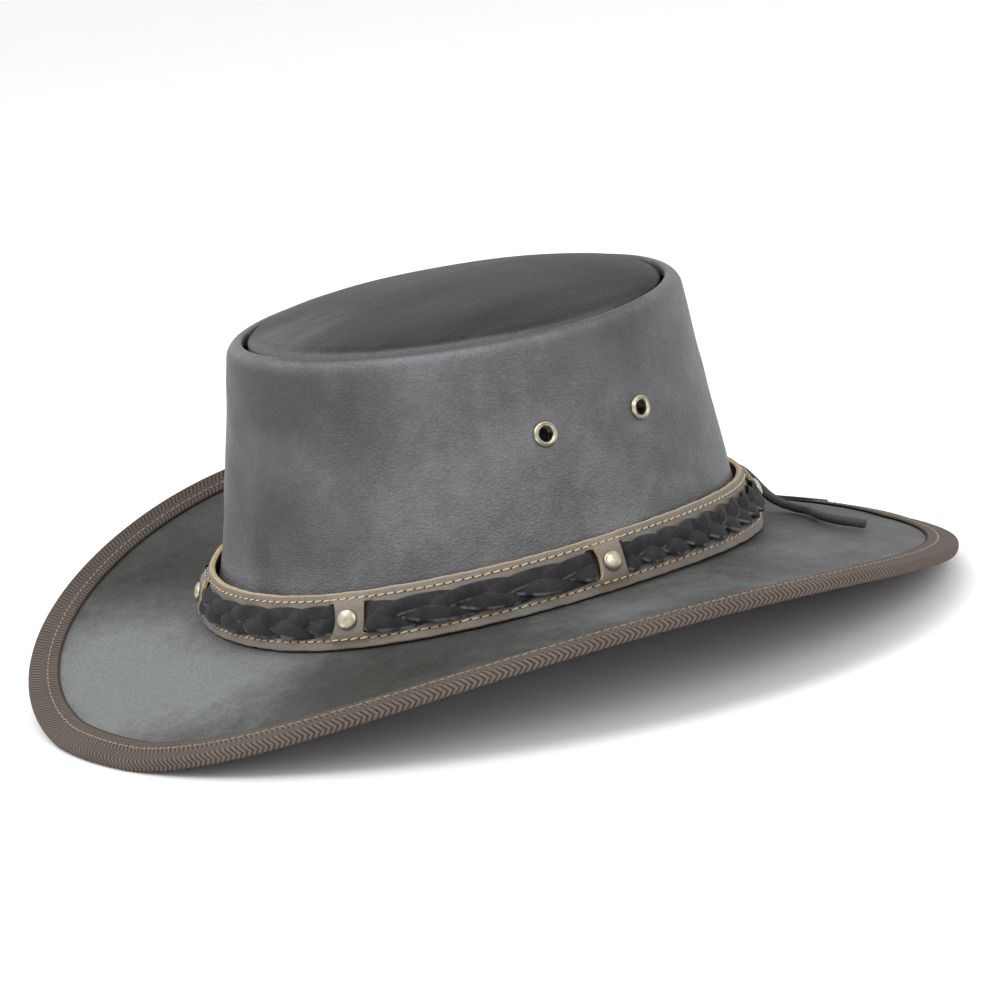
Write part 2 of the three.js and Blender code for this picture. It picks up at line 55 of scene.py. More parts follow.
# ---- The hat's sizes, as in its solids
LEATHER = 2.0
CLEARANCE = 0.3
CROWN_HEIGHT = 97.2
FOOT = dict(length=103.0, width=84.1, round=2.18, height=25.8, bow=3.2, flare=4.8, flare_height=24.0,
            right=1.5, front=3.2)
TOP = dict(length=90.5, width=73.4, round=1.92, back=2.1, bow=0.4)
RIM = dict(roll=4.8, width=6.2, depth=4.2, fold=8.0)
PANEL = dict(edge=4.6, shoulder=2.2, dome=9.4, dip=1.2, lip=0.07, short=1.6)
DENTS = [  # angle, share of the height, depth, spread in degrees, reach as a share of the height
    (-78, 0.52, 1.3, 13, 0.24), (-52, 0.6, -1.5, 12, 0.2), (-20, 0.72, -0.8, 12, 0.13),
    (30, 0.45, -0.9, 15, 0.16), (128, 0.6, -1.4, 15, 0.2), (196, 0.5, 1.1, 16, 0.2),
    (232, 0.62, -1.3, 13, 0.2),
]
LEAN = dict(angle=150, height=2.85, middle=0.4)
BRIM = dict(length=180.8, width=158.6, round=2.02, roll=20.2, curl=1.25, margin=12.0)
EDGE_WAVES = [(0, 0.919, 0), (1, -0.301, -0.095), (2, 1.0, -0.134), (3, -0.102, -0.061),
              (4, 0.025, -0.068), (5, 0, 0.031)]
TAPE = dict(width=10.5, thickness=0.8, round=0.9)
EDGE_REST = LEATHER / 2 + CLEARANCE + TAPE["thickness"] - 0.48
BAND = dict(thickness=2.0, rise=19.5, slant=1.4, over_brim=0.85, gap=0.5, loose=0.6, off=2.8,
            bridge_lift=2.6,
            bridge=11.0, slot=2.8, slot_low=-5.0, slot_high=6.0)
SLOT_OUTER = BAND["bridge"] / 2 + BAND["slot"]
RIVET_ANGLES = [-116.3, -58.4, -5.0, 61.0, 122.0, 182.0]
LOBES = [15.5, 20.0, 11.5, 14.0, 15.0, 16.0]  # distance between two lobes of the plait, after each rivet
KNOT = dict(angle=90, length=15.0, height=15.5, thickness=7.4)
EYELET = dict(spread=13, height=60.2, outer=9.4, bore=5.0, tube=6.0, lip=0.9)
LACE_WIDTH = 3.8
LACE_POINTS = [
    (7.4, 115.8, 36.4), (11.4, 116.2, 34.8), (15.4, 116.4, 31.8), (20.0, 116.6, 28.2),
    (24.8, 117.2, 25.0), (30.0, 118.9, 22.5), (35.8, 120.4, 21.0), (41.6, 120.6, 20.7),
    (47.2, 118.9, 20.9), (52.6, 116.6, 21.2), (58.4, 115.2, 21.2), (64.2, 115.6, 20.7),
    (69.6, 117.4, 20.1), (74.6, 119.8, 19.2),
]


# ---- The hat's surfaces. Angles turn round the hat from the wearer's left towards the back.
def smooth(x, low, high):
    t = np.clip((x - low) / (high - low), 0, 1)
    return t * t * (3 - 2 * t)


def mix(a, b, share):
    return a + (b - a) * share


def bump(distance, spread):
    return np.exp(-((distance / spread) ** 2))


def angle_between(angle, degrees):
    apart = np.degrees(angle) - degrees
    return apart - 360 * np.round(apart / 360)


def oval(half_length, half_width, roundness, angle):
    c, s = np.cos(angle), np.sin(angle)
    reach = (np.abs(c) ** roundness + np.abs(s) ** roundness) ** (-1 / roundness)
    return half_width * reach * c, half_length * reach * s


def flare_at(rise):
    return FOOT["flare"] * np.maximum(0, 1 - rise / FOOT["flare_height"]) ** 2


def dent_at(angle, share):
    depth = np.zeros(np.broadcast(angle, share).shape)
    for at, level, deep, spread, reach in DENTS:
        depth = depth + deep * bump(angle_between(angle, at), spread) * bump(share - level, reach)
    # hand-shaped leather is never quite even
    depth = depth + 0.22 * np.sin(5 * angle + 9 * share) + 0.14 * np.sin(11 * angle - 17 * share + 1.3)
    depth = depth + 0.08 * np.sin(19 * angle + 31 * share + 0.4)
    return depth * smooth(share, 0.22, 0.36) * smooth(1 - share, 0.03, 0.15)


def lean(angle, share):
    """How much higher the crown's top is than its even height, a share of the way to its rim."""
    return LEAN["height"] * (LEAN["middle"] + share * np.cos(angle - math.radians(LEAN["angle"])))


def wall_point(angle, rise, out):
    angle, rise, out = np.broadcast_arrays(angle, rise, out)
    share = rise / CROWN_HEIGHT
    grow = out + dent_at(angle, share)
    x, y = oval(mix(FOOT["length"], TOP["length"], share) + grow,
                mix(FOOT["width"], TOP["width"], share) + grow,
                mix(FOOT["round"], TOP["round"], share), angle)
    sides = np.cos(2 * angle)
    lift = lean(angle, 1.0)
    foot = FOOT["height"] + FOOT["bow"] * sides
    rim = FOOT["height"] + CROWN_HEIGHT - TOP["bow"] * sides
    z = mix(foot, rim, share) + lift * share ** 4
    return np.stack([x - FOOT["right"], y - FOOT["front"] + TOP["back"] * share, z], -1)


def edge_point(angle):
    x, y = oval(BRIM["length"], BRIM["width"], BRIM["round"], angle)
    share = sum(c * np.cos(wave * angle) + s * np.sin(wave * angle) for wave, c, s in EDGE_WAVES)
    return np.stack([x, y, EDGE_REST + np.maximum(0, share * BRIM["roll"])], -1)


def brim_middle(angle, reach):
    inner = wall_point(angle, 0.0, FOOT["flare"])
    inner = inner - [0, 0, CLEARANCE + LEATHER / 2]
    edge = edge_point(angle)
    point = mix(inner, edge, reach[..., None])
    curl = np.maximum(reach, 0) ** BRIM["curl"]
    point[..., 2] = inner[..., 2] + (edge[..., 2] - inner[..., 2]) * curl
    # slow waves that leather takes on, none at the crown and at the edge
    wave = 0.5 * np.sin(3 * angle + 5 * reach + 0.7) + 0.3 * np.sin(7 * angle - 6 * reach)
    point[..., 2] += wave * smooth(reach, 0.12, 0.45) * smooth(1 - reach, 0.1, 0.4)
    return point


def brim_width(angle):
    ends = [brim_middle(angle, np.full(np.shape(angle), reach)) for reach in (0.0, 1.0)]
    return np.linalg.norm(ends[1] - ends[0], axis=-1)


def brim_surface(angle, inward):
    angle, inward = np.broadcast_arrays(angle, inward)
    return brim_middle(angle, 1 - inward / brim_width(angle))


def band_face(angle, share):
    angle, share = np.broadcast_arrays(angle, share)
    upper = BAND["over_brim"] + BAND["rise"] + BAND["slant"] * np.sin(angle)
    lower_out = flare_at(BAND["over_brim"]) + BAND["gap"] + BAND["thickness"]
    loose = BAND["loose"] + BAND["off"] * np.sin(angle) ** 8
    upper_out = flare_at(upper) + BAND["gap"] + loose + BAND["thickness"]
    low = wall_point(angle, BAND["over_brim"], lower_out)
    return mix(low, wall_point(angle, upper, upper_out), share[..., None])


BAND_SLANT = float(np.linalg.norm(band_face(0.0, 1.0) - band_face(0.0, 0.0)))


def band_surface(angle, across):
    return band_face(angle, 0.5 + across / BAND_SLANT)


def lifted(surface, angle, across, lift):
    """Points that stand off a surface, and its outward directions there."""
    angle, across, lift = np.broadcast_arrays(angle, across, lift)
    step = 1e-3
    along = surface(angle + step, across) - surface(angle - step, across)
    over = surface(angle, across + step) - surface(angle, across - step)
    out = np.cross(along, over)
    out /= np.linalg.norm(out, axis=-1, keepdims=True)
    return surface(angle, across) + out * lift[..., None], out


# Lengths along the hat band, and the angles where they lie
BAND_TURNS = np.linspace(-TURN / 2, TURN * 1.5, 6001)
_steps = np.diff(band_surface(BAND_TURNS, np.zeros(6001)), axis=0)
BAND_LENGTHS = np.concatenate([[0], np.cumsum(np.linalg.norm(_steps, axis=1))])


def length_at(degrees):
    return float(np.interp(math.radians(degrees), BAND_TURNS, BAND_LENGTHS))


BAND_ROUND = length_at(360) - length_at(0)
RIVET_LENGTHS = [length_at(degrees) for degrees in RIVET_ANGLES]


def angle_at(length):
    return np.interp(length, BAND_LENGTHS, BAND_TURNS)


def from_rivet(length):
    """Length from the nearest rivet, less than 0 before it."""
    apart = [(length - at + BAND_ROUND / 2) % BAND_ROUND - BAND_ROUND / 2 for at in RIVET_LENGTHS]
    apart = np.array(apart)
    nearest = np.abs(apart).argmin(0)
    return np.take_along_axis(apart, nearest[None], 0)[0]


def strap_point(length, across, lift):
    """A point on the strap's face, which bulges out at each bridge."""
    length, across, lift = np.broadcast_arrays(length, across, lift)
    near = 1 - smooth(np.abs(from_rivet(length)), BAND["bridge"] / 2 - 0.5, SLOT_OUTER)
    hump = smooth(BAND_SLANT / 2 - np.abs(across), 0, BAND_SLANT / 2 - 4.2)
    return lifted(band_surface, angle_at(length), across, lift + BAND["bridge_lift"] * near * hump)


# ---- Meshes
def linear(code):
    values = [int(code[at:at + 2], 16) / 255 for at in (1, 3, 5)]
    return [v / 12.92 if v <= 0.04045 else ((v + 0.055) / 1.055) ** 2.4 for v in values]


def new_object(name, vertices, faces, smooth_faces=True):
    """A mesh object from points in millimetres."""
    mesh = bpy.data.meshes.new(name)
    mesh.from_pydata((np.asarray(vertices, float).reshape(-1, 3) * MM).tolist(), [], faces)
    mesh.update()
    mesh.shade_smooth() if smooth_faces else mesh.shade_flat()
    made = bpy.data.objects.new(name, mesh)
    bpy.context.scene.collection.objects.link(made)
    return made


def skin(name, rows, wrap_along=True, wrap_across=True, sizes=None, poles=None, ends=False):
    """A skin through rows of points, which run along the piece and then across it, outside first.
    sizes are the lengths of the rows and columns, for the piece's own UV map in millimetres."""
    n, m = rows.shape[:2]
    index = np.arange(n * m).reshape(n, m)
    i = np.arange(n if wrap_along else n - 1)[:, None]
    j = np.arange(m if wrap_across else m - 1)[None, :]
    corners = [(i, j), (i + 1, j), (i + 1, j + 1), (i, j + 1)]
    quads = np.stack([index[a % n, b % m] for a, b in corners], -1).reshape(-1, 4)
    faces = quads.tolist()
    vertices = rows.reshape(-1, 3)
    if ends:
        faces += [index[0].tolist(), index[-1][::-1].tolist()]
    if poles is not None:
        vertices = np.concatenate([vertices, poles])
        for k in range(n):
            after = (k + 1) % n
            faces.append([n * m, index[after, 0], index[k, 0]])
            faces.append([n * m + 1, index[k, -1], index[after, -1]])
    made = new_object(name, vertices, faces)
    if sizes is not None:
        along, across = sizes
        layer = made.data.uv_layers.new(name="Cut")
        shape = (i.shape[0], j.shape[1])
        uv = np.stack([np.stack([np.broadcast_to(along[a], shape), np.broadcast_to(across[b], shape)], -1)
                       for a, b in corners], -2).reshape(-1, 2)
        full = np.zeros((len(made.data.loops), 2))
        full[:len(uv)] = uv
        layer.data.foreach_set("uv", full.ravel())
    return made


def rounded(points, times):
    """Cuts the corners of a line of points, which keeps its ends."""
    line = np.array(points, float)
    for _ in range(times):
        inner = np.stack([mix(line[:-1], line[1:], 0.25), mix(line[:-1], line[1:], 0.75)], 1).reshape(-1, 2)
        line = np.concatenate([line[:1], inner[1:-1], line[-1:]])
    return line


CAP_SIDES = 36  # faces round a rivet's cap
RING_SIDES = 40  # faces round an eyelet's ring


def turned(profile, sides):
    """A piece turned about Z from (radius, height) pairs that go up on the outside."""
    turns = np.arange(sides) * TURN / sides
    profile = np.array(profile, float)
    rows = np.stack([np.cos(turns)[:, None] * profile[None, :, 0],
                     np.sin(turns)[:, None] * profile[None, :, 0],
                     np.broadcast_to(profile[None, :, 1], (sides, len(profile)))], -1)
    return rows


def dress(piece, slot, nodes, *materials):
    """Puts a finished piece into the frame: its body and its materials, and hides its solids. The slot is
    not used.
    """
    if len(materials) > 0 and not piece.data.materials:
        for material in materials:
            piece.data.materials.append(material)
    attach(piece, "root")
    if nodes:
        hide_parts(*nodes)
    return piece


def tone_spots(piece, surface, spots):
    """Keeps on each point how much paler (+) or darker (-) its colour is painted: partly rubbed and
    stained leather, partly painted highlights and painted shade. A spot has an angle, a second place on
    the surface, a radius in millimetres and an amount."""
    points = np.empty(len(piece.data.vertices) * 3)
    piece.data.vertices.foreach_get("co", points)
    points = points.reshape(-1, 3) / MM
    amount = np.zeros(len(points))
    for angle, across, radius, much in spots:
        middle = surface(np.array(math.radians(angle)), np.array(float(across)))
        amount += much * bump(np.linalg.norm(points - middle, axis=1), radius)
    piece.data.attributes.new("rub_and_painted_light", "FLOAT", "POINT").data.foreach_set("value", amount)


def line_of_spots(first, last, across, radius, amount):
    """Spots so close together that they read as one line, which fades at both ends."""
    turns = np.arange(first, last, math.degrees(radius / 85))
    fade = np.sin(np.linspace(0, math.pi, len(turns))) ** 0.6 / 1.77
    return [(turn, across, radius, amount * share) for turn, share in zip(turns, fade)]


def remove(*helpers):
    for helper in helpers:
        bpy.data.objects.remove(helper)


def baked(piece):
    """The piece with its modifiers applied, as a plain mesh."""
    bpy.context.view_layer.update()
    graph = bpy.context.evaluated_depsgraph_get()
    mesh = bpy.data.meshes.new_from_object(piece.evaluated_get(graph), depsgraph=graph)
    old = piece.data
    piece.modifiers.clear()
    piece.data = mesh
    bpy.data.meshes.remove(old)
    if not mesh.polygons:
        raise RuntimeError(f"{piece.name} came out empty")
    return piece


# ---- Node trees
def node(tree, kind, inputs=None, **settings):
    """Adds a node, with its settings and what goes into its sockets: a value or another's socket."""
    made = tree.nodes.new(kind)
    for name, value in settings.items():
        setattr(made, name, value)
    for name, value in (inputs or {}).items():
        if isinstance(value, bpy.types.NodeSocket):
            tree.links.new(value, made.inputs[name])
        else:
            made.inputs[name].default_value = value
    return made


def set_tree(name, on_path):
    """Sets a small piece upright on "out", at even steps along a path or at each point of a mesh."""
    tree = bpy.data.node_groups.new(name, "GeometryNodeTree")
    face = tree.interface
    face.new_socket("Geometry", in_out="INPUT", socket_type="NodeSocketGeometry")
    face.new_socket("Piece", in_out="INPUT", socket_type="NodeSocketObject")
    face.new_socket("Finish", in_out="INPUT", socket_type="NodeSocketMaterial")
    face.new_socket("Steps", in_out="INPUT", socket_type="NodeSocketInt").default_value = 10
    face.new_socket("Lean", in_out="INPUT", socket_type="NodeSocketFloat")
    face.new_socket("Unevenness", in_out="INPUT", socket_type="NodeSocketFloat")
    face.new_socket("Geometry", in_out="OUTPUT", socket_type="NodeSocketGeometry")
    given = node(tree, "NodeGroupInput").outputs
    points = given["Geometry"]
    if on_path:
        path = node(tree, "GeometryNodeMeshToCurve", {"Mesh": points})
        even = node(tree, "GeometryNodeResampleCurve", {"Curve": path.outputs[0], "Count": given["Steps"]},
                    mode="COUNT")
        points = even.outputs[0]
    out = node(tree, "GeometryNodeInputNamedAttribute", {"Name": "out"}, data_type="FLOAT_VECTOR")
    upright = node(tree, "FunctionNodeAlignRotationToVector", {"Vector": out.outputs[0]}, axis="Z")
    ahead = node(tree, "GeometryNodeInputTangent").outputs[0] if on_path else (0.0, 0.0, 1.0)
    facing = node(tree, "FunctionNodeAlignRotationToVector",
                  {"Rotation": upright.outputs[0], "Vector": ahead}, axis="X", pivot_axis="Z")
    low = node(tree, "ShaderNodeMath", {0: given["Lean"], 1: given["Unevenness"]}, operation="SUBTRACT")
    high = node(tree, "ShaderNodeMath", {0: given["Lean"], 1: given["Unevenness"]}, operation="ADD")
    turn = node(tree, "FunctionNodeRandomValue", {2: low.outputs[0], 3: high.outputs[0], "Seed": 7},
                data_type="FLOAT")
    lean = node(tree, "ShaderNodeCombineXYZ", {"Z": turn.outputs[1]})
    rotation = node(tree, "FunctionNodeEulerToRotation", {"Euler": lean.outputs[0]})
    turned_in = node(tree, "FunctionNodeRotateRotation",
                     {"Rotation": facing.outputs[0], "Rotate By": rotation.outputs[0]},
                     rotation_space="LOCAL")
    piece = node(tree, "GeometryNodeObjectInfo", {"Object": given["Piece"], "As Instance": True})
    placed = node(tree, "GeometryNodeInstanceOnPoints",
                  {"Points": points, "Instance": piece.outputs["Geometry"],
                   "Rotation": turned_in.outputs[0]})
    real = node(tree, "GeometryNodeRealizeInstances", {"Geometry": placed.outputs[0]})
    finished = node(tree, "GeometryNodeSetMaterial",
                    {"Geometry": real.outputs[0], "Material": given["Finish"]})
    node(tree, "NodeGroupOutput", {"Geometry": finished.outputs[0]})
    return tree


def set_in_row(name, points, outs, piece, finish, steps=0, lean=0.0, uneven=0.0):
    """Copies of a small piece, baked to one mesh: so many steps along a closed path in millimetres,
    or, without steps, one at each point."""
    count = len(points)
    mesh = bpy.data.meshes.new(name)
    edges = [(k, (k + 1) % count) for k in range(count)] if steps else []
    mesh.from_pydata((points * MM).tolist(), edges, [])
    mesh.attributes.new("out", "FLOAT_VECTOR", "POINT").data.foreach_set("vector", outs.ravel())
    row = bpy.data.objects.new(name, mesh)
    bpy.context.scene.collection.objects.link(row)
    kind = "Small pieces along a path" if steps else "Small pieces at points"
    tree = bpy.data.node_groups.get(kind) or set_tree(kind, bool(steps))
    modifier = row.modifiers.new("Row", "NODES")
    modifier.node_group = tree
    values = {"Piece": piece, "Finish": finish, "Steps": steps, "Lean": lean, "Unevenness": uneven}
    for item in tree.interface.items_tree:
        if item.in_out == "INPUT" and item.name in values:
            modifier[item.identifier] = values[item.name]
    return baked(row)


# ---- Finishes
def finish_tree(name):
    material = bpy.data.materials.new(name)
    material.use_nodes = True
    tree = material.node_tree
    tree.nodes.clear()
    shader = node(tree, "ShaderNodeBsdfPrincipled")
    node(tree, "ShaderNodeOutputMaterial", {"Surface": shader.outputs[0]})
    return material, tree, shader


def ramp(tree, factor, *stops):
    """A colour ramp from (position, colour) pairs."""
    made = node(tree, "ShaderNodeValToRGB", {0: factor})
    elements = made.color_ramp.elements
    while len(elements) < len(stops):
        elements.new(1.0)
    for element, (position, colour) in zip(elements, stops):
        element.position = position
        element.color = (*colour, 1)
    return made.outputs[0]


def blend(tree, factor, one, other, mode="MIX"):
    made = node(tree, "ShaderNodeMix", {0: factor, 6: one, 7: other}, data_type="RGBA", blend_type=mode)
    return made.outputs[2]


def noise(tree, place, size_mm, detail=3.0, roughness=0.5):
    """Noise whose features are about size_mm across."""
    return node(tree, "ShaderNodeTexNoise", {"Vector": place, "Scale": 1 / (size_mm * MM), "Detail": detail,
                                             "Roughness": roughness}).outputs[0]


def colour(rgb):
    return (*rgb, 1.0)


def grain_leather(name, base, dark, light, grain_mm, streak=1.0, gloss=0.45, clouds=1.1):
    """Waxed cowhide, drum dyed and pressed: a crisp pebbled grain under a low satin sheen, with soft
    clouds in the dye, painted paler and darker where the points' tone values say so: partly rubbed and
    stained places, partly painted highlights and painted shade."""
    material, tree, shader = finish_tree(name)
    place = node(tree, "ShaderNodeTexCoord").outputs["Object"]
    drawn = node(tree, "ShaderNodeVectorMath", {0: place, 1: (1, 1 / streak, 1)},
                 operation="MULTIPLY").outputs[0]
    cloud = noise(tree, drawn, 26, 4, 0.55)
    fine = noise(tree, drawn, 5, 5, 0.68)
    # the points' tone values: rubbed and stained places, and also painted highlights and painted shade
    rub_and_painted_light = node(tree, "ShaderNodeAttribute", attribute_name="rub_and_painted_light").outputs["Fac"]
    shade = node(tree, "ShaderNodeMath", {0: fine, 1: 0.45, 2: rub_and_painted_light}, operation="MULTIPLY_ADD")
    shade = node(tree, "ShaderNodeMath", {0: cloud, 1: clouds, 2: shade.outputs[0]},
                 operation="MULTIPLY_ADD")
    shade = node(tree, "ShaderNodeMath", {0: shade.outputs[0], 1: clouds / 2 - 0.26}, operation="SUBTRACT")
    tone = ramp(tree, shade.outputs[0], (0.0, dark), (0.5, base), (1.0, light))
    # creases between the pebbles wander over a few of them, and read from further away
    pebble = noise(tree, place, grain_mm, 3, 0.6)
    bend = node(tree, "ShaderNodeTexNoise",
                {"Vector": place, "Scale": 1 / (2.5 * MM), "Detail": 2.0}).outputs["Color"]
    bent = node(tree, "ShaderNodeVectorMath", {0: bend, 1: (1.6 * MM, 1.6 * MM, 1.6 * MM), 2: place},
                operation="MULTIPLY_ADD").outputs[0]
    bent = node(tree, "ShaderNodeVectorMath", {0: bent, 1: (1, 1, 1.6)}, operation="MULTIPLY").outputs[0]
    crease = node(tree, "ShaderNodeTexVoronoi", {"Vector": bent, "Scale": 1 / (grain_mm * 1.9 * MM)},
                  feature="DISTANCE_TO_EDGE").outputs["Distance"]
    crease = node(tree, "ShaderNodeMapRange", {"Value": crease, "From Max": 0.2}).outputs[0]
    height = node(tree, "ShaderNodeMath", {0: crease, 1: 0.35, 2: pebble},
                  operation="MULTIPLY_ADD").outputs[0]
    # the grain's low creases are painted darker and its high pebbles a little lighter: painted shade and
    # painted highlight in the grain
    grain_shade_and_highlight = ramp(tree, height, (0.35, (0.7, 0.7, 0.7)), (0.7, (0.98, 0.98, 0.98)), (1.0, (1.1, 1.1, 1.1)))
    tone = blend(tree, 0.75, tone, grain_shade_and_highlight, "MULTIPLY")
    relief = node(tree, "ShaderNodeBump", {"Strength": 0.85, "Distance": 0.4 * MM, "Height": height})
    for socket, value in (("Base Color", tone), ("Normal", relief.outputs[0])):
        tree.links.new(value, shader.inputs[socket])
    shader.inputs["Roughness"].default_value = 0.48
    shader.inputs["IOR"].default_value = 1.46
    shader.inputs["Specular IOR Level"].default_value = gloss
    return material


def strap_leather(base, grey, dark):
    """Nubuck from oiled cowhide, buffed: matt taupe with grey blotches and short brushed nap."""
    material, tree, shader = finish_tree("Buffed nubuck cowhide")
    place = node(tree, "ShaderNodeTexCoord").outputs["Object"]
    blotch = noise(tree, place, 9, 5, 0.68)
    nap = noise(tree, place, 0.7, 3, 0.7)
    tone = ramp(tree, blotch, (0.36, base), (0.47, base), (0.58, grey))
    speck = ramp(tree, nap, (0.34, dark), (0.5, (1, 1, 1)))
    tone = blend(tree, 0.3, tone, speck, "MULTIPLY")
    uv = node(tree, "ShaderNodeUVMap", uv_map="Cut")
    across = node(tree, "ShaderNodeSeparateXYZ", {0: uv.outputs[0]}).outputs["Y"]
    worn = node(tree, "ShaderNodeMapRange", {"Value": across, "From Min": BAND_SLANT / 2 - 0.9,
                                             "From Max": BAND_SLANT / 2 - 0.1, "To Max": 0.8})
    tone = blend(tree, worn.outputs[0], tone, colour(linear("#ab9b83")))
    relief = node(tree, "ShaderNodeBump", {"Strength": 0.35, "Distance": 0.15 * MM, "Height": nap})
    tree.links.new(tone, shader.inputs["Base Color"])
    tree.links.new(relief.outputs[0], shader.inputs["Normal"])
    shader.inputs["Roughness"].default_value = 0.82
    shader.inputs["Specular IOR Level"].default_value = 0.25
    return material


def cut_edge():
    """The knife-cut edge of the strap: bare pale fibres of the hide's core, unpainted."""
    material, tree, shader = finish_tree("Raw cut leather edge")
    place = node(tree, "ShaderNodeTexCoord").outputs["Object"]
    tone = ramp(tree, noise(tree, place, 0.8, 3, 0.7), (0.35, linear("#8c7656")), (0.6, linear("#cdb795")))
    tree.links.new(tone, shader.inputs["Base Color"])
    shader.inputs["Roughness"].default_value = 0.85
    return material


def suede(name, base, wear_and_highlight_tone, worn):
    """Split suede dyed black: a dead matt nap, with grey rubbed tracks, and paler edges that are partly
    worn and partly a painted highlight.
    """
    material, tree, shader = finish_tree(name)
    place = node(tree, "ShaderNodeTexCoord").outputs["Object"]
    patches = noise(tree, place, 7, 4, 0.65)
    nap = noise(tree, place, 0.6, 3, 0.75)
    tone = ramp(tree, patches, (0.4, base), (0.85, [mix(a, b, 0.22) for a, b in zip(base, wear_and_highlight_tone)]))
    # paler broken stretches along the strands' edges: partly wear, partly a painted highlight
    if worn:
        uv = node(tree, "ShaderNodeUVMap", uv_map="Cut")
        across = node(tree, "ShaderNodeSeparateXYZ", {0: uv.outputs[0]}).outputs["Y"]
        side = node(tree, "ShaderNodeMath", {0: across}, operation="ABSOLUTE")
        edge = node(tree, "ShaderNodeMapRange",
                    {"Value": side.outputs[0], "From Min": 0.8, "From Max": 0.96})
        broken = node(tree, "ShaderNodeMapRange", {"Value": noise(tree, place, 5, 2, 0.5),
                                                   "From Min": 0.42, "From Max": 0.56})
        share = node(tree, "ShaderNodeMath", {0: edge.outputs[0], 1: broken.outputs[0]},
                     operation="MULTIPLY")
        tone = blend(tree, share.outputs[0], tone, colour(wear_and_highlight_tone))
    relief = node(tree, "ShaderNodeBump", {"Strength": 0.5, "Distance": 0.15 * MM, "Height": nap})
    tree.links.new(tone, shader.inputs["Base Color"])
    tree.links.new(relief.outputs[0], shader.inputs["Normal"])
    shader.inputs["Roughness"].default_value = 0.92
    shader.inputs["Specular IOR Level"].default_value = 0.2
    shader.inputs["Sheen Weight"].default_value = 0.06
    shader.inputs["Sheen Roughness"].default_value = 0.5
    return material


def twill_tape(name, dark, light):
    """Woven cotton tape in herringbone. Its ribs are drawn 2.1 mm apart, coarser than they are, so
    that they show, and turn back every 3.5 mm across."""
    material, tree, shader = finish_tree(name)
    uv = node(tree, "ShaderNodeUVMap", uv_map="Cut")
    parts = node(tree, "ShaderNodeSeparateXYZ", {0: uv.outputs[0]}).outputs
    zigzag = node(tree, "ShaderNodeMath", {0: parts["Y"], 1: 3.5}, operation="PINGPONG")
    slant = node(tree, "ShaderNodeMath", {0: zigzag.outputs[0], 1: 0.9, 2: parts["X"]},
                 operation="MULTIPLY_ADD")
    turns = node(tree, "ShaderNodeMath", {0: slant.outputs[0], 1: TURN / 2.1}, operation="MULTIPLY")
    wave = node(tree, "ShaderNodeMath", {0: turns.outputs[0]}, operation="SINE")
    rib = node(tree, "ShaderNodeMapRange", {"Value": wave.outputs[0], "From Min": -1.0, "From Max": 1.0})
    place = node(tree, "ShaderNodeTexCoord").outputs["Object"]
    yarn = noise(tree, place, 0.7, 2, 0.6)
    patch = noise(tree, place, 30, 3, 0.5)
    tone = ramp(tree, rib.outputs[0], (0.2, dark), (0.75, light))
    tone = blend(tree, 0.3, tone, ramp(tree, yarn, (0.3, dark), (0.7, light)))
    tone = blend(tree, 0.35, tone, ramp(tree, patch, (0.35, (0.72, 0.7, 0.68)), (0.65, (1, 1, 1))),
                 "MULTIPLY")
    rub_and_painted_light = node(tree, "ShaderNodeAttribute", attribute_name="rub_and_painted_light").outputs["Fac"]
    # darkens the tape where the points' tone values fall below zero: painted shade
    tape_painted_shade = node(tree, "ShaderNodeMapRange",
                  {"Value": rub_and_painted_light, "From Min": -1.0, "From Max": 0.0, "To Min": 0.45})
    tone = blend(tree, 1.0, tone, tape_painted_shade.outputs[0], "MULTIPLY")
    height = node(tree, "ShaderNodeMath", {0: yarn, 1: 0.5, 2: rib.outputs[0]}, operation="MULTIPLY_ADD")
    relief = node(tree, "ShaderNodeBump",
                  {"Strength": 0.6, "Distance": 0.3 * MM, "Height": height.outputs[0]})
    tree.links.new(tone, shader.inputs["Base Color"])
    tree.links.new(relief.outputs[0], shader.inputs["Normal"])
    shader.inputs["Roughness"].default_value = 0.9
    shader.inputs["Specular IOR Level"].default_value = 0.2
    return material


def thread(name, base, dark):
    """Waxed twisted thread, as a mottled tone between two colours."""
    material, tree, shader = finish_tree(name)
    place = node(tree, "ShaderNodeTexCoord").outputs["Object"]
    tone = ramp(tree, noise(tree, place, 0.5, 2, 0.5), (0.35, dark), (0.6, base))
    tree.links.new(tone, shader.inputs["Base Color"])
    shader.inputs["Roughness"].default_value = 0.6
    return material


def aged_brass(base, dark):
    """Brass-plated steel, tumbled: satin, with brown tarnish in soft patches."""
    material, tree, shader = finish_tree("Tumbled brass plating")
    place = node(tree, "ShaderNodeTexCoord").outputs["Object"]
    spots = noise(tree, place, 1.6, 4, 0.65)
    tree.links.new(ramp(tree, spots, (0.36, dark), (0.58, base)), shader.inputs["Base Color"])
    rough = node(tree, "ShaderNodeMapRange", {"Value": spots, "From Min": 0.3, "From Max": 0.7,
                                              "To Min": 0.42, "To Max": 0.26})
    tree.links.new(rough.outputs[0], shader.inputs["Roughness"])
    shader.inputs["Metallic"].default_value = 1.0
    return material


def plain(name, rgb, roughness):
    """An even matt finish for the stage and for the dark needle holes."""
    material, _, shader = finish_tree(name)
    shader.inputs["Base Color"].default_value = colour(rgb)
    shader.inputs["Roughness"].default_value = roughness
    return material


# ---- What a user can change
def tint(name, code, what):
    return bpy.props.FloatVectorProperty(name=name, description=what, subtype="COLOR", size=3, min=0, max=1,
                                         default=linear(code))


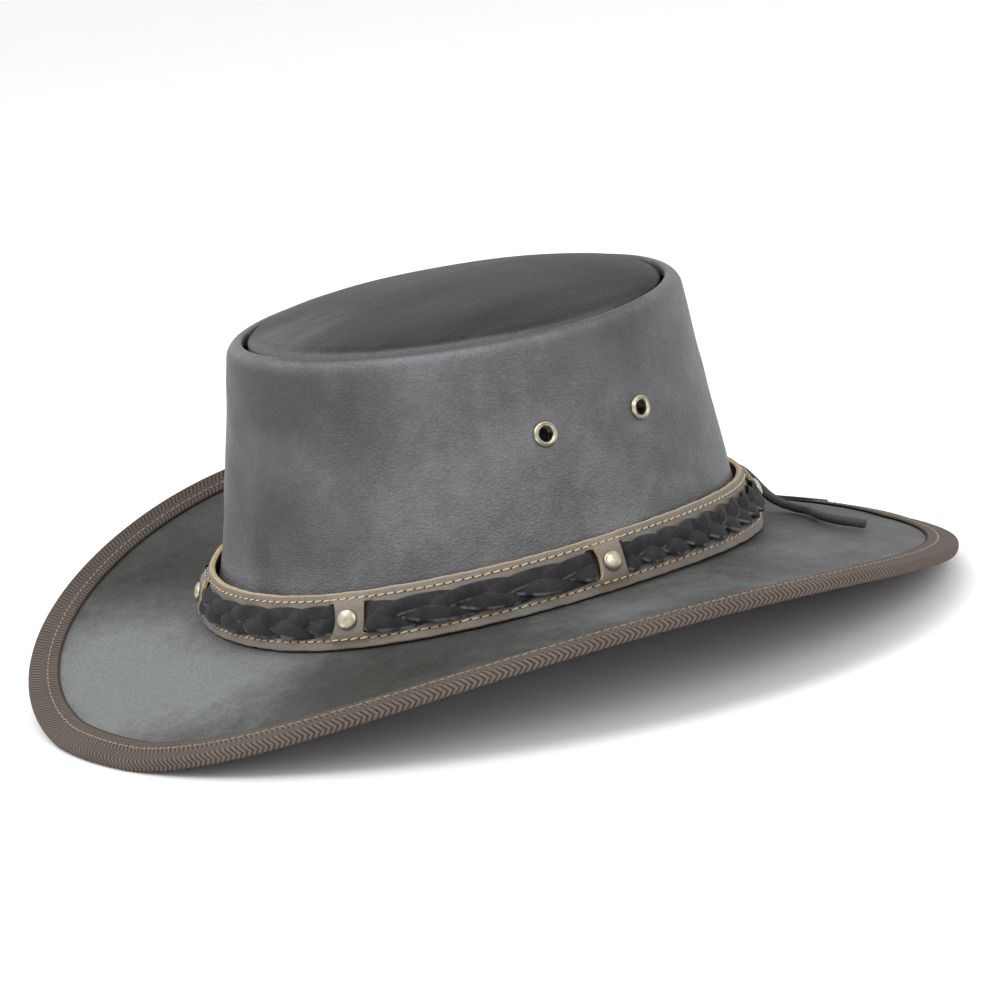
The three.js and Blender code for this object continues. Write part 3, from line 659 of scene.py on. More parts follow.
class HatSizes(bpy.types.PropertyGroup):
    stitch_pitch: bpy.props.FloatProperty(
        name="Stitch pitch", description="Distance between two stitches on the hat band", default=3.5 * MM,
        min=2 * MM, unit="LENGTH")
    stitch_length: bpy.props.FloatProperty(
        name="Stitch length", description="Length of one stitch on the hat band", default=3.0 * MM,
        min=1 * MM, unit="LENGTH")
    strand_width: bpy.props.FloatProperty(
        name="Strand width", description="Width of one strand of the plait", default=6.2 * MM,
        min=3 * MM, max=8 * MM, unit="LENGTH")
    strand_thickness: bpy.props.FloatProperty(
        name="Strand thickness", description="Thickness of one strand of the plait", default=1.25 * MM,
        min=0.6 * MM, max=2 * MM, unit="LENGTH")
    leather_grain: bpy.props.FloatProperty(
        name="Leather grain", description="Distance between two pebbles of the leather's grain",
        default=1.1 * MM, min=0.4 * MM, unit="LENGTH")
    selvedge_pitch: bpy.props.FloatProperty(
        name="Selvedge pitch", description="Distance between two loops on the tape's inner edge",
        default=1.35 * MM, min=1 * MM, unit="LENGTH")


class HatColours(bpy.types.PropertyGroup):
    crown: tint("Crown leather", "#545557", "Main colour of the crown's wall")
    # crown_dark and crown_light also colour the crown's painted shade and painted highlights
    crown_dark: tint("Crown leather, dark", "#3d3e40", "Clouds in the crown's leather")
    crown_light: tint("Crown leather, light", "#707274", "Rubbed places of the crown's leather")
    panel: tint("Top panel", "#3b3a38", "Main colour of the top panel")
    brim: tint("Brim leather", "#4a4b49", "Main colour of the brim")
    tape: tint("Binding tape", "#6f645c", "Raised ribs of the binding tape")
    strap: tint("Strap", "#81756a", "Main colour of the hat band's strap")
    suede: tint("Plait", "#262628", "Colour of the plait and the lace")
    thread: tint("Strap thread", "#c8b894", "Colour of the stitches on the strap")
    brass: tint("Brass", "#c3bca6", "Colour of the rivets and eyelets")


# ---- The pieces
class HAT_OT_stage(bpy.types.Operator):
    """Camera at the photograph's angle, a pale floor and soft studio light"""
    bl_idname = "hat.stage"
    bl_label = "Stage"

    def execute(self, context):
        azimuth, elevation, roll = (math.radians(degrees) for degrees in (55.03, 12.09, 7.57))
        right = Vector((math.cos(azimuth), math.sin(azimuth), 0))
        back = Vector((math.sin(azimuth) * math.cos(elevation), -math.cos(azimuth) * math.cos(elevation),
                       math.sin(elevation)))
        up = back.cross(right)
        target = Vector((-1.53, -3.33, 62.8)) * MM
        camera = bpy.data.objects.new("camera", bpy.data.cameras.new("camera"))
        context.scene.collection.objects.link(camera)
        stand = target + back * 1.2
        aim = target + right * 8.84 * MM - up * 13.76 * MM
        behind = (stand - aim).normalized()
        across = right * math.cos(roll) - up * math.sin(roll)
        across = (across - behind * across.dot(behind)).normalized()
        camera.matrix_world = Matrix.Translation(stand) @ Matrix(
            (across, behind.cross(across), behind)).transposed().to_4x4()
        camera.data.lens = 115.88
        camera.data.sensor_width = 36
        camera.data.clip_start = 0.05
        context.scene.camera = camera

        floor = new_object("floor",
                           [(x * 6000, y * 6000, -0.4) for x, y in ((-1, -1), (1, -1), (1, 1), (-1, 1))],
                           [(0, 1, 2, 3)])
        floor.data.materials.append(plain("Pale paper floor", linear("#fbfbfb"), 0.9))

        lights = [  # name, azimuth, elevation, distance, size, watts
            ("key", 0, 50, 2.0, 0.8, 14), ("fill", 95, 32, 2.2, 1.6, 12), ("top", 0, 80, 1.8, 1.2, 6),
            ("back", 200, 45, 2.2, 1.4, 3),
        ]
        for name, turn, height, distance, size, watts in lights:
            lamp = bpy.data.lights.new(name, "AREA")
            lamp.shape = "DISK"
            lamp.size = size
            lamp.energy = watts
            light = bpy.data.objects.new(name, lamp)
            context.scene.collection.objects.link(light)
            turn, height = math.radians(turn), math.radians(height)
            way = Vector((math.sin(turn) * math.cos(height), -math.cos(turn) * math.cos(height),
                          math.sin(height)))
            light.location = target + way * distance
            light.rotation_euler = way.to_track_quat("Z", "Y").to_euler()
        world = bpy.data.worlds.new("studio")
        world.use_nodes = True
        world.node_tree.nodes["Background"].inputs[0].default_value = colour(linear("#fafbfc"))
        world.node_tree.nodes["Background"].inputs[1].default_value = 1.0
        context.scene.world = world
        context.scene.view_settings.view_transform = "Standard"
        return {"FINISHED"}


def tube(name, path, half_width, half_height, sides, spin=0.0, drawn=1.0):
    """A closed thong with a rounded section along a path of points; spin turns its section and
    drawn pulls it thinner."""
    path = np.array(path, float)
    ahead = np.gradient(path, axis=0)
    ahead /= np.linalg.norm(ahead, axis=1, keepdims=True)
    flat = np.cross([0.0, 0.0, 1.0], ahead)
    flat /= np.linalg.norm(flat, axis=1, keepdims=True)
    up = np.cross(ahead, flat)
    turn = np.arange(sides) * TURN / sides
    c, s = np.cos(turn), np.sin(turn)
    wide = np.sign(c) * np.abs(c) ** 0.75 * half_width
    high = np.sign(s) * np.abs(s) ** 0.75 * half_height
    angle = np.broadcast_to(spin, len(path))[:, None, None]
    across = flat[:, None] * np.cos(angle) + up[:, None] * np.sin(angle)
    over = up[:, None] * np.cos(angle) - flat[:, None] * np.sin(angle)
    drawn = np.broadcast_to(drawn, len(path))[:, None, None]
    rows = path[:, None] + (over * high[None, :, None] - across * wide[None, :, None]) * drawn
    lengths = np.concatenate([[0], np.cumsum(np.linalg.norm(np.diff(path, axis=0), axis=1))])
    return skin(name, rows, wrap_along=False, sizes=(lengths, np.append(c, c[0])), ends=True)


def through(points, count):
    """Even points on a smooth line through a few chosen ones."""
    points = np.array(points, float)
    ends = np.concatenate([[2 * points[0] - points[1]], points, [2 * points[-1] - points[-2]]])
    t = np.linspace(0, 1, 24, endpoint=False)[:, None]
    line = []
    for a, b, c, d in zip(ends, ends[1:], ends[2:], ends[3:]):
        line.append(0.5 * (2 * b + (c - a) * t + (2 * a - 5 * b + 4 * c - d) * t ** 2
                           + (3 * b - a - 3 * c + d) * t ** 3))
    line = np.concatenate(line + [points[-1:]])
    lengths = np.concatenate([[0], np.cumsum(np.linalg.norm(np.diff(line, axis=0), axis=1))])
    even = np.linspace(0, lengths[-1], count)
    return np.stack([np.interp(even, lengths, line[:, k]) for k in range(3)], -1), lengths[-1]


class HAT_OT_lace(bpy.types.Operator):
    """The loose lace end on the brim, and the knot that it comes out of"""
    bl_idname = "hat.lace"
    bl_label = "Lace"

    def execute(self, context):
        tints = context.scene.hat_colours
        path, length = through(LACE_POINTS, 90)
        faded = [mix(a, b, 0.3) for a, b in zip(tints.suede, linear("#5a5a5c"))]
        finish = suede("Black suede lace", faded, linear("#76767a"), worn=False)
        spin = 0.25 * np.sin(np.linspace(0, 9, len(path)))
        # drawn thinner where it comes out from under the strap
        drawn = mix(0.65, 0.98, smooth(np.linspace(0, length, len(path)), 0, 13))
        thong = tube("lace", path, LACE_WIDTH / 2, LACE_WIDTH / 2 - 0.3, 14, spin, drawn)
        lace = dress(thong, "plait_suede", ["lace_tail"], finish)
        # the knot: one thong tied round the two ends of the plait
        face, out = lifted(band_surface, math.radians(KNOT["angle"]), 0.0,
                           CLEARANCE + KNOT["thickness"] / 2)
        t = np.linspace(0, TURN, 120, endpoint=False)
        x = (np.sin(t) + 2 * np.sin(2 * t)) / 3 * (KNOT["length"] / 2 - 2)
        y = (np.cos(t) - 2 * np.cos(2 * t)) / 3 * (KNOT["height"] / 2 - 2)
        z = -np.sin(3 * t) * (KNOT["thickness"] / 2 - 1.7)
        side = np.cross([0, 0, 1.0], out)
        side /= np.linalg.norm(side)
        over = np.cross(out, side)
        line = face + x[:, None] * side + y[:, None] * over + z[:, None] * out
        ahead = np.roll(line, -1, 0) - np.roll(line, 1, 0)
        ahead /= np.linalg.norm(ahead, axis=1, keepdims=True)
        flat = np.cross(np.broadcast_to(out, ahead.shape), ahead)
        flat /= np.linalg.norm(flat, axis=1, keepdims=True)
        up = np.cross(ahead, flat)
        turn = np.arange(12) * TURN / 12
        rows = line[:, None] - flat[:, None] * (2.3 * np.cos(turn))[None, :, None] \
            + up[:, None] * (1.5 * np.sin(turn))[None, :, None]
        dress(skin("knot", rows), "plait_suede", ["lace_knot"], finish)
        return {"FINISHED"}


def eyelet_places():
    return [math.radians(side + turn) for side in (0, 180)
            for turn in (-EYELET["spread"], EYELET["spread"])]


def crown_outside(angle, rise):
    return wall_point(angle, rise, flare_at(rise))


def over_rim(angle, rise):
    """The wall's outside and, past its height, the way over the rim and inwards."""
    past = np.maximum(0, rise - CROWN_HEIGHT)
    return wall_point(angle, rise - past, flare_at(rise) - past)


class HAT_OT_crown(bpy.types.Operator):
    """The crown's wall with its folded rim, and the domed top panel"""
    bl_idname = "hat.crown"
    bl_label = "Crown"

    def execute(self, context):
        tints, sizes = context.scene.hat_colours, context.scene.hat_sizes
        grain = sizes.leather_grain / MM
        outside = [(rise, flare_at(rise)) for rise in np.linspace(0, CROWN_HEIGHT - RIM["roll"] - 2, 64)]
        roll = [(CROWN_HEIGHT - RIM["roll"] * (1 - math.sin(turn)), -RIM["roll"] * (1 - math.cos(turn)))
                for turn in np.radians(np.linspace(0, 90, 9))]
        fold = rounded([roll[-1],
                        (CROWN_HEIGHT - 0.16 * RIM["depth"], -mix(RIM["roll"], RIM["width"], 0.8)),
                        (CROWN_HEIGHT - RIM["depth"], -RIM["width"]),
                        (CROWN_HEIGHT - RIM["fold"], -LEATHER)], 2).tolist()
        inside = [(rise, flare_at(rise) - LEATHER)
                  for rise in np.linspace(CROWN_HEIGHT - RIM["fold"] - 2, 0, 40)]
        profile = np.array(outside + roll + fold[1:] + inside)
        angle = np.arange(400) * TURN / 400
        rows = wall_point(angle[:, None], profile[None, :, 0], profile[None, :, 1])
        wall = skin("crown_wall", rows)
        cutters = []
        for at in eyelet_places():
            middle, out = lifted(crown_outside, at, EYELET["height"], 0.0)
            drill = new_object("drill", *self.drill(middle, out))
            cutters.append(drill)
            cut = wall.modifiers.new("Eyelet hole", "BOOLEAN")
            cut.operation = "DIFFERENCE"
            cut.object = drill
        wall = baked(wall)
        wall.data.shade_smooth()
        remove(*cutters)
        leather = grain_leather("Waxed cowhide, crown", tints.crown, tints.crown_dark, tints.crown_light,
                                grain)
        # The crown's tone spots: partly the leather's own rubbed and stained places, partly painted light
        # and shade.
        tone_spots(wall, over_rim, [
            (-128, 60, 22, 0.5), (-104, 50, 18, -0.6), (-98, 82, 14, -0.65), (-76, 80, 14, -0.45),
            (-80, 50, 15, -0.45), (-95, 14, 14, 0.55), (-72, 12, 12, 0.4), (-88, 30, 11, -0.45),
            (-45, 52, 22, 0.12), (-30, 92, 16, 0.1), (-55, 76, 20, -0.3), (2, 40, 24, 0.1),
            (0, 18, 18, 0.45), (-28, 30, 24, 0.15),
            (30, 30, 20, 0.1), (45, 78, 22, -0.2), (12, 88, 16, -0.25), (90, 50, 40, 0.2),
            (150, 60, 40, -0.3),
            (190, 40, 30, 0.3), (-20, 50, 24, 0.15), (-120, 85, 12, 0.4),
            # a painted highlight along the near side of the rim's crest, and a band of painted shade just
            # under the rim at the front
            *line_of_spots(-160, 34, CROWN_HEIGHT + 0.5, 2.6, 0.45), *line_of_spots(-125, -62, 87, 6, -0.5),
            # painted shade in the groove between the rim and the top panel
            *line_of_spots(-85, 30, CROWN_HEIGHT + 4, 1.7, -1.4),
        ])
        dress(wall, "crown_leather", ["crown_side"], leather)

        inset = RIM["width"] + CLEARANCE
        share = np.concatenate([1 - PANEL["lip"] * np.linspace(0, 1, 14) ** 1.6,
                                np.linspace(0.915, 0.04, 40)])

        def height(s):
            past = np.maximum(0, (s - 1 + PANEL["lip"]) / PANEL["lip"])
            return PANEL["shoulder"] * (1 - past ** 2) + PANEL["dome"] * (1 - s ** 2) - PANEL["dip"]
        upper = [(s, height(s), inset) for s in share]
        lower = [(s, height(s) - LEATHER, inset) for s in np.linspace(0.04, 0.9, 20)]
        turn_in = [(0.97, -PANEL["dip"], inset + LEATHER / 2), (1, -PANEL["edge"], inset + LEATHER),
                   (1, -PANEL["edge"], inset + 0.2), (1, -PANEL["edge"] + 0.3, inset)]
        rings = lower + turn_in + [(1, -3.0, inset)] + upper
        angle = np.arange(300) * TURN / 300
        s, h, back_in = (np.array(values)[None] for values in zip(*rings))
        x, y = oval((TOP["length"] - PANEL["short"] - back_in) * s, (TOP["width"] - back_in) * s,
                    TOP["round"],
                    angle[:, None])
        # the hide sinks and swells a little between its middle and its edge
        sag = 0.25 * np.sin(3 * angle[:, None] + 4 * s) * smooth(s, 0.15, 0.5) * smooth(1 - s, 0.08, 0.3)
        z = FOOT["height"] + CROWN_HEIGHT - TOP["bow"] * np.cos(2 * angle[:, None]) * s + h + sag
        z = z + lean(angle[:, None], s)
        rows = np.stack([x - FOOT["right"], y - FOOT["front"] + TOP["back"], z], -1)
        top = FOOT["height"] + CROWN_HEIGHT + height(0.0) + lean(0.0, 0.0)
        centre = [-FOOT["right"], TOP["back"] - FOOT["front"]]
        panel = skin("crown_panel", rows, wrap_across=False,
                     poles=np.array([[*centre, top - LEATHER], [*centre, top]]))
        leather = grain_leather("Waxed cowhide, top panel", tints.panel, linear("#262523"),
                                linear("#5f5e5c"),
                                grain * 0.9, streak=6.0, gloss=0.1)
        # The top panel is painted paler at the front and darker towards the wearer's left and the back.
        tone_spots(panel, over_rim, [
            (-102, 98, 34, 0.25), (-10, 95, 34, -0.45), (40, 95, 34, -0.55), (120, 98, 40, -0.1),
            # the line of spots is a painted highlight along the panel's near edge
            (-50, 97, 24, -0.3), *line_of_spots(-125, 34, CROWN_HEIGHT + 7.4, 2.2, 1.0),
        ])
        dress(panel, "panel_leather", ["crown_top"], leather)
        return {"FINISHED"}

    @staticmethod
    def drill(middle, out):
        """A cylinder through the wall, as points and faces."""
        side = np.cross([0, 0, 1.0], out)
        side /= np.linalg.norm(side)
        over = np.cross(out, side)
        sides = 32
        turn = np.arange(sides) * TURN / sides
        ring = np.cos(turn)[:, None] * side + np.sin(turn)[:, None] * over
        radius = EYELET["tube"] / 2 + 0.15
        points = np.concatenate([middle + ring * radius - out * 8, middle + ring * radius + out * 8])
        faces = [[k, (k + 1) % sides, sides + (k + 1) % sides, sides + k] for k in range(sides)]
        return points, faces + [list(range(sides))[::-1], list(range(sides, 2 * sides))]


class HAT_OT_brim(bpy.types.Operator):
    """The brim, the tape round its edge, the tape's stitches and its looped inner edge"""
    bl_idname = "hat.brim"
    bl_label = "Brim"

    def execute(self, context):
        tints, sizes = context.scene.hat_colours, context.scene.hat_sizes
        angle = np.arange(540) * TURN / 540
        width = brim_width(angle)[:, None]
        reach = np.linspace(0, 1, 46)[None]
        under, _ = lifted(brim_surface, angle[:, None], width * (1 - reach), -LEATHER / 2)
        above, _ = lifted(brim_surface, angle[:, None], width * reach, LEATHER / 2)
        below = FOOT["flare"] - LEATHER - CLEARANCE
        corner = [wall_point(angle[:, None], np.array([[rise]]), below)
                  for rise in (-CLEARANCE - LEATHER, -CLEARANCE)]
        rise = np.linspace(1.5, BRIM["margin"], 8)[None]
        turned_up = wall_point(angle[:, None], rise, flare_at(rise) - LEATHER - CLEARANCE)
        back_down = wall_point(angle[:, None], rise[:, ::-1],
                               flare_at(rise[:, ::-1]) - 2 * LEATHER - CLEARANCE)
        rows = np.concatenate([corner[0], under, above, corner[1], turned_up, back_down], 1)
        brim = skin("brim_leather", rows)
        leather = grain_leather("Waxed cowhide, brim", tints.brim, linear("#2a2823"), linear("#737675"),
                                sizes.leather_grain / MM, gloss=0.1, clouds=0.6)
        # These spots paint light and shade on the brim: painted light at the front and painted shade
        # towards the back, with smaller lighter and darker patches between.
        tone_spots(brim, brim_surface, [
            (-95, 35, 42, 0.6), (-118, 30, 32, 0.5), (-75, 60, 22, 0.35), (-148, 34, 30, -0.35),
            (-45, 30, 36, -0.2),
            (-10, 40, 36, 0.25), (35, 40, 34, 0.1), (66, 62, 28, -0.45), (90, 40, 36, -0.5),
            (120, 40, 36, -0.25),
            (150, 40, 40, 0.1),
        ])
        dress(brim, "brim_leather", ["brim"], leather)

        cloth = twill_tape("Woven cotton herringbone tape", linear("#332c28"), tints.tape)
        edge = twill_tape("Woven cotton tape edge", linear("#2a2420"), linear("#564c45"))
        around = self.lengths_round(angle)
        tape = self.tape("brim_tape", np.arange(720) * TURN / 720, 0.0)
        # painted shade on the tape along the wearer's right side
        tone_spots(tape, brim_surface, [(-150, 0, 60, -0.35), (175, 0, 80, -0.6)])
        dress(tape, "binding_tape", ["brim_binding"], cloth)
        # the tape's end laps over its start at the back
        turns = np.radians(np.linspace(95.8, 103.0, 26))
        end = self.tape("tape_end", turns, 0.95, closed=False)
        dress(end, "binding_tape", [], cloth)

        loop = bead("loop", (0.5, 0.75, 0.42), 6, 4)
        stitch = bead("stitch", (1.35, 0.3, 0.26), 8, 5)
        rope = thread("Beige cotton thread", linear("#978a7b"), linear("#6f6357"))
        outer = LEATHER / 2 + CLEARANCE + TAPE["thickness"]
        for face, sign in (("top", 1), ("under", -1)):
            line, out = lifted(brim_surface, angle, TAPE["width"] + 0.1, sign * (outer - 0.42))
            count = round(around / (sizes.selvedge_pitch / MM))
            row = set_in_row(f"selvedge_{face}", line, out, loop, edge, count)
            dress(self.mapped(row), "binding_tape", [], edge)
            line, out = lifted(brim_surface, angle, TAPE["width"] - 3.6, sign * (outer + 0.08))
            row = set_in_row(f"tape_stitches_{face}", line, out, stitch, rope, round(around / 3.3), 0.16,
                             0.08)
            dress(row, "binding_tape", [], rope)
        remove(loop, stitch)
        return {"FINISHED"}

    @staticmethod
    def mapped(row):
        """Gives a row of loops a UV map, so that the tape's finish has its plain yarn there."""
        if not row.data.uv_layers:
            row.data.uv_layers.new(name="Cut")
        return row

    @staticmethod
    def lengths_round(angle):
        line = brim_surface(angle, 0.0)
        return float(np.linalg.norm(np.roll(line, -1, 0) - line, axis=1).sum())

    @staticmethod
    def tape(name, angle, raised, closed=True):
        """Tape folded over the brim's edge, pressed flat where it lies on the ground."""
        inner = LEATHER / 2 + CLEARANCE + raised * 0.85
        outer = inner + TAPE["thickness"] + raised * 0.15
        nose = CLEARANCE + TAPE["thickness"] + raised
        turn = np.radians(np.linspace(-90, 90, 13))
        tip = [(-(nose - TAPE["round"]) - TAPE["round"] * math.cos(t), outer * math.sin(t)) for t in turn]
        flat = np.linspace(TAPE["width"], 0.4, 16)
        profile = [(w, -outer) for w in flat] + tip + [(w, outer) for w in flat[::-1]]
        profile += [(TAPE["width"] + 0.25, mix(inner, outer, 0.5))]
        profile += [(w, inner) for w in (TAPE["width"], 5.0, 0.2)] + [(-CLEARANCE - raised, inner * 0.6)]
        profile += [(-CLEARANCE - raised, -inner * 0.6)] + [(w, -inner) for w in (0.2, 5.0, TAPE["width"])]
        profile += [(TAPE["width"] + 0.25, -mix(inner, outer, 0.5))]
        inward, lift = (np.array(values)[None] for values in zip(*profile))
        rows, _ = lifted(brim_surface, angle[:, None], inward, lift)
        rows[..., 2] = np.maximum(rows[..., 2], 0)
        line = brim_surface(angle, 0.0)
        step = np.linalg.norm(np.roll(line, -1, 0) - line, axis=1)
        along = np.concatenate([[0], np.cumsum(step)])
        # the pattern is measured from the middle of the fold towards both inner edges
        across = np.concatenate([[0], np.cumsum(np.linalg.norm(np.diff(profile, axis=0), axis=1)), [0]])
        across = np.abs(across - across[len(flat) + 6])
        return skin(name, rows, wrap_along=closed, sizes=(along, across), ends=not closed)


def bead(name, half, sides, rings):
    """A small oval bead, as one stitch or one loop of yarn."""
    turn = np.radians(np.linspace(-90, 90, rings + 2)[1:-1])
    around = np.arange(sides) * TURN / sides
    rows = np.stack([np.broadcast_to(np.sin(turn)[None], (sides, rings)) * half[0],
                     np.cos(around)[:, None] * np.cos(turn)[None] * half[1],
                     np.sin(around)[:, None] * np.cos(turn)[None] * half[2]], -1)
    made = skin(name, rows, wrap_across=False, poles=np.array([[-half[0], 0, 0], [half[0], 0, 0]]))
    made.hide_render = True
    return made


class HAT_OT_strap(bpy.types.Operator):
    """The strap with its slots and bridges, and two rows of stitches"""
    bl_idname = "hat.strap"
    bl_label = "Strap"

    def execute(self, context):
        tints, sizes = context.scene.hat_colours, context.scene.hat_sizes
        half = BAND_SLANT / 2
        low, high = BAND["slot_low"], BAND["slot_high"]
        across = np.concatenate([np.linspace(-half, low, 6), np.linspace(low, high, 12)[1:],
                                 np.linspace(high, half, 5)[1:]])
        near = np.concatenate([np.linspace(-SLOT_OUTER, -BAND["bridge"] / 2, 5),
                               np.linspace(-BAND["bridge"] / 2, BAND["bridge"] / 2, 12)[1:],
                               np.linspace(BAND["bridge"] / 2, SLOT_OUTER, 5)[1:]])
        columns = []
        for k, at in enumerate(RIVET_LENGTHS):
            after = RIVET_LENGTHS[k + 1] if k + 1 < len(RIVET_LENGTHS) else RIVET_LENGTHS[0] + BAND_ROUND
            columns += (at + near).tolist()
            start, end = at + SLOT_OUTER, after - SLOT_OUTER
            columns += np.linspace(start, end, round((end - start) / 1.3))[1:-1].tolist()
        columns = np.array(columns)
        n, m = len(columns), len(across)
        apart = from_rivet(columns)[:, None]
        middle, reach = (low + high) / 2, (high - low) / 2
        arch = np.maximum(0, 1 - ((across[None] - middle) / reach) ** 2)
        # the slots were cut by hand: the left one of each pair is bowed, the right one nearly straight
        bow = 1.1 * bump(apart + BAND["bridge"] / 2, 1.6) + 0.3 * bump(apart - SLOT_OUTER, 1.6)
        length = columns[:, None] + bow * arch
        ragged = (0.07 * np.sin(columns / 2.9) + 0.06 * np.sin(columns / 1.31 + 1)
                  + 0.12 * np.sin(columns / 17))
        wide = across[None] + ragged[:, None] * (np.abs(across[None]) / half) ** 6
        outer, _ = strap_point(length, wide, 0.0)
        inner, _ = strap_point(length, wide, -BAND["thickness"])

        vertices = np.concatenate([outer.reshape(-1, 3), inner.reshape(-1, 3)])
        between = from_rivet((columns + np.append(columns[1:], columns[0] + BAND_ROUND)) / 2)
        cut_along = (np.abs(between) > BAND["bridge"] / 2) & (np.abs(between) < SLOT_OUTER)
        halfway = (across[1:] + across[:-1]) / 2
        kept = ~(cut_along[:, None] & ((halfway > low) & (halfway < high))[None])
        faces, rims, uv = [], [], []
        along = np.append(columns, columns[0] + BAND_ROUND)
        for i, j in np.argwhere(kept):
            i, j = int(i), int(j)
            a, b, c, d = i * m + j, (i + 1) % n * m + j, (i + 1) % n * m + j + 1, i * m + j + 1
            spots = [(along[i], across[j]), (along[i + 1], across[j]), (along[i + 1], across[j + 1]),
                     (along[i], across[j + 1])]
            faces += [(a, b, c, d), tuple(k + n * m for k in (d, c, b, a))]
            uv += spots + spots[::-1]
            sides = [((i - 1) % n, j, d, a, 3, 0), ((i + 1) % n, j, b, c, 1, 2), (i, j - 1, a, b, 0, 1),
                     (i, j + 1, c, d, 2, 3)]
            for p, q, one, other, f, g in sides:
                if q < 0 or q >= m - 1 or not kept[p, q]:
                    rims.append(len(faces))
                    faces.append((other, one, one + n * m, other + n * m))
                    uv += [spots[g], spots[f], spots[f], spots[g]]
        strap = new_object("strap", vertices, faces)
        strap.data.uv_layers.new(name="Cut").data.foreach_set("uv", np.array(uv, float).ravel())
        is_rim = np.zeros(len(faces), int)
        is_rim[rims] = 1
        strap.data.materials.append(strap_leather(tints.strap, linear("#747470"), linear("#5d4f43")))
        strap.data.materials.append(cut_edge())
        strap.data.polygons.foreach_set("material_index", is_rim)
        edge = strap.modifiers.new("Rounded edges", "BEVEL")
        edge.width = 0.3 * MM
        edge.segments = 2
        edge.limit_method = "ANGLE"
        edge.angle_limit = math.radians(50)
        strap = baked(strap)
        strap.data.shade_smooth()
        dress(strap, "strap_leather", ["band_strap"])

        rope = thread("Waxed linen thread", tints.thread, linear("#b09c72"))
        dark = plain("Needle hole shadow", linear("#2a221b"), 0.9)
        stitch = bead("stitch", (sizes.stitch_length / MM / 2, 0.33, 0.3), 8, 5)
        hole = bead("hole", (0.42, 0.42, 0.1), 8, 3)
        count = round(BAND_ROUND / (sizes.stitch_pitch / MM))
        for name, row_at in (("upper", half - 2.5), ("lower", 3.0 - half)):
            start = RIVET_LENGTHS[0]
            for kind, piece, finish, shift, lift, lean in (("stitches", stitch, rope, 0.0, 0.18, 0.12),
                                                           ("holes", hole, dark, 0.5, 0.02, 0.0)):
                steps = np.arange(count * 4) / 4
                at = start + (steps + shift) * BAND_ROUND / count
                line, out = strap_point(at, row_at, lift)
                row = set_in_row(f"{name}_{kind}", line, out, piece, finish, count, lean,
                                 0.07 if lean else 0.0)
                dress(row, "strap_leather", [], finish)
        remove(stitch, hole)
        return {"FINISHED"}


class HAT_OT_plait(bpy.types.Operator):
    """The suede plait: three flat strands that cross over each other and dip under the bridges"""
    bl_idname = "hat.plait"
    bl_label = "Plait"

    def execute(self, context):
        tints, sizes = context.scene.hat_colours, context.scene.hat_sizes
        # the strands' paler edges are partly wear and partly a painted highlight
        finish = suede("Black suede strands", tints.suede, linear("#68686a"), worn=True)
        start = length_at(KNOT["angle"]) + KNOT["length"] / 2 - 1.5
        lengths = np.arange(start, start + BAND_ROUND - KNOT["length"] + 3.0, 0.9)
        rivets = np.array(RIVET_LENGTHS)
        order = (lengths[:, None] - rivets[None]) % BAND_ROUND
        lobes = np.array(LOBES)[order.argmin(1)]
        phase = np.cumsum(0.9 * TURN / (3 * lobes))
        out = smooth(np.abs(from_rivet(lengths)), BAND["bridge"] / 2 - 0.7, SLOT_OUTER + 0.6)
        half_width = sizes.strand_width / MM / 2
        thick = sizes.strand_thickness / MM / 2
        sides = 16
        turn = np.arange(sides) * TURN / sides
        c, s = np.cos(turn), np.sin(turn)
        pieces = []
        for strand in range(3):
            now = phase + strand * TURN / 3
            # a strand stays longer at the sides, where it turns back
            swing = mix(2.6, 3.0, out) * (1 + 0.12 * np.cos(2 * now))
            middle = mix(0.3, -0.2, out) + swing * np.sin(now)
            floor = mix(-1.75, 0.15, out)
            lift = mix(-0.75, 1.55, out) + mix(0.35, 1.25, out) * np.sin(2 * now)
            lift = np.maximum(lift, floor + thick * 0.9)
            slope = 0.16 * np.cos(now) * out
            steer = np.arctan2(np.gradient(middle), 0.9)
            w = (mix(2.8, half_width, out) * (1 + 0.05 * np.sin(now * 1.7 + strand)))[:, None] \
                * (np.sign(c) * np.abs(c) ** 0.8)[None]
            h = mix(0.8, 1.0, out)[:, None] * thick * (np.sign(s) * np.abs(s) ** 0.8)[None]
            spread = np.abs(w) / half_width
            camber = (0.55 * out)[:, None] * spread ** 2
            height = lift[:, None] + h + w * slope[:, None] - camber
            height = np.maximum(height, floor[:, None] + 0.02 * h)
            where = lengths[:, None] - w * np.sin(steer)[:, None]
            over = middle[:, None] + w * np.cos(steer)[:, None]
            # sections run up on the outside, so they turn the other way round
            rows, _ = lifted(band_surface, angle_at(where), over, height)
            rows = rows[:, ::-1]
            pieces.append(skin(f"strand_{strand + 1}", rows, wrap_along=False,
                               sizes=(lengths, np.append(c, c[0])[::-1]), ends=True))
        for piece in pieces:
            dress(piece, "plait_suede", ["plait"], finish)
        return {"FINISHED"}


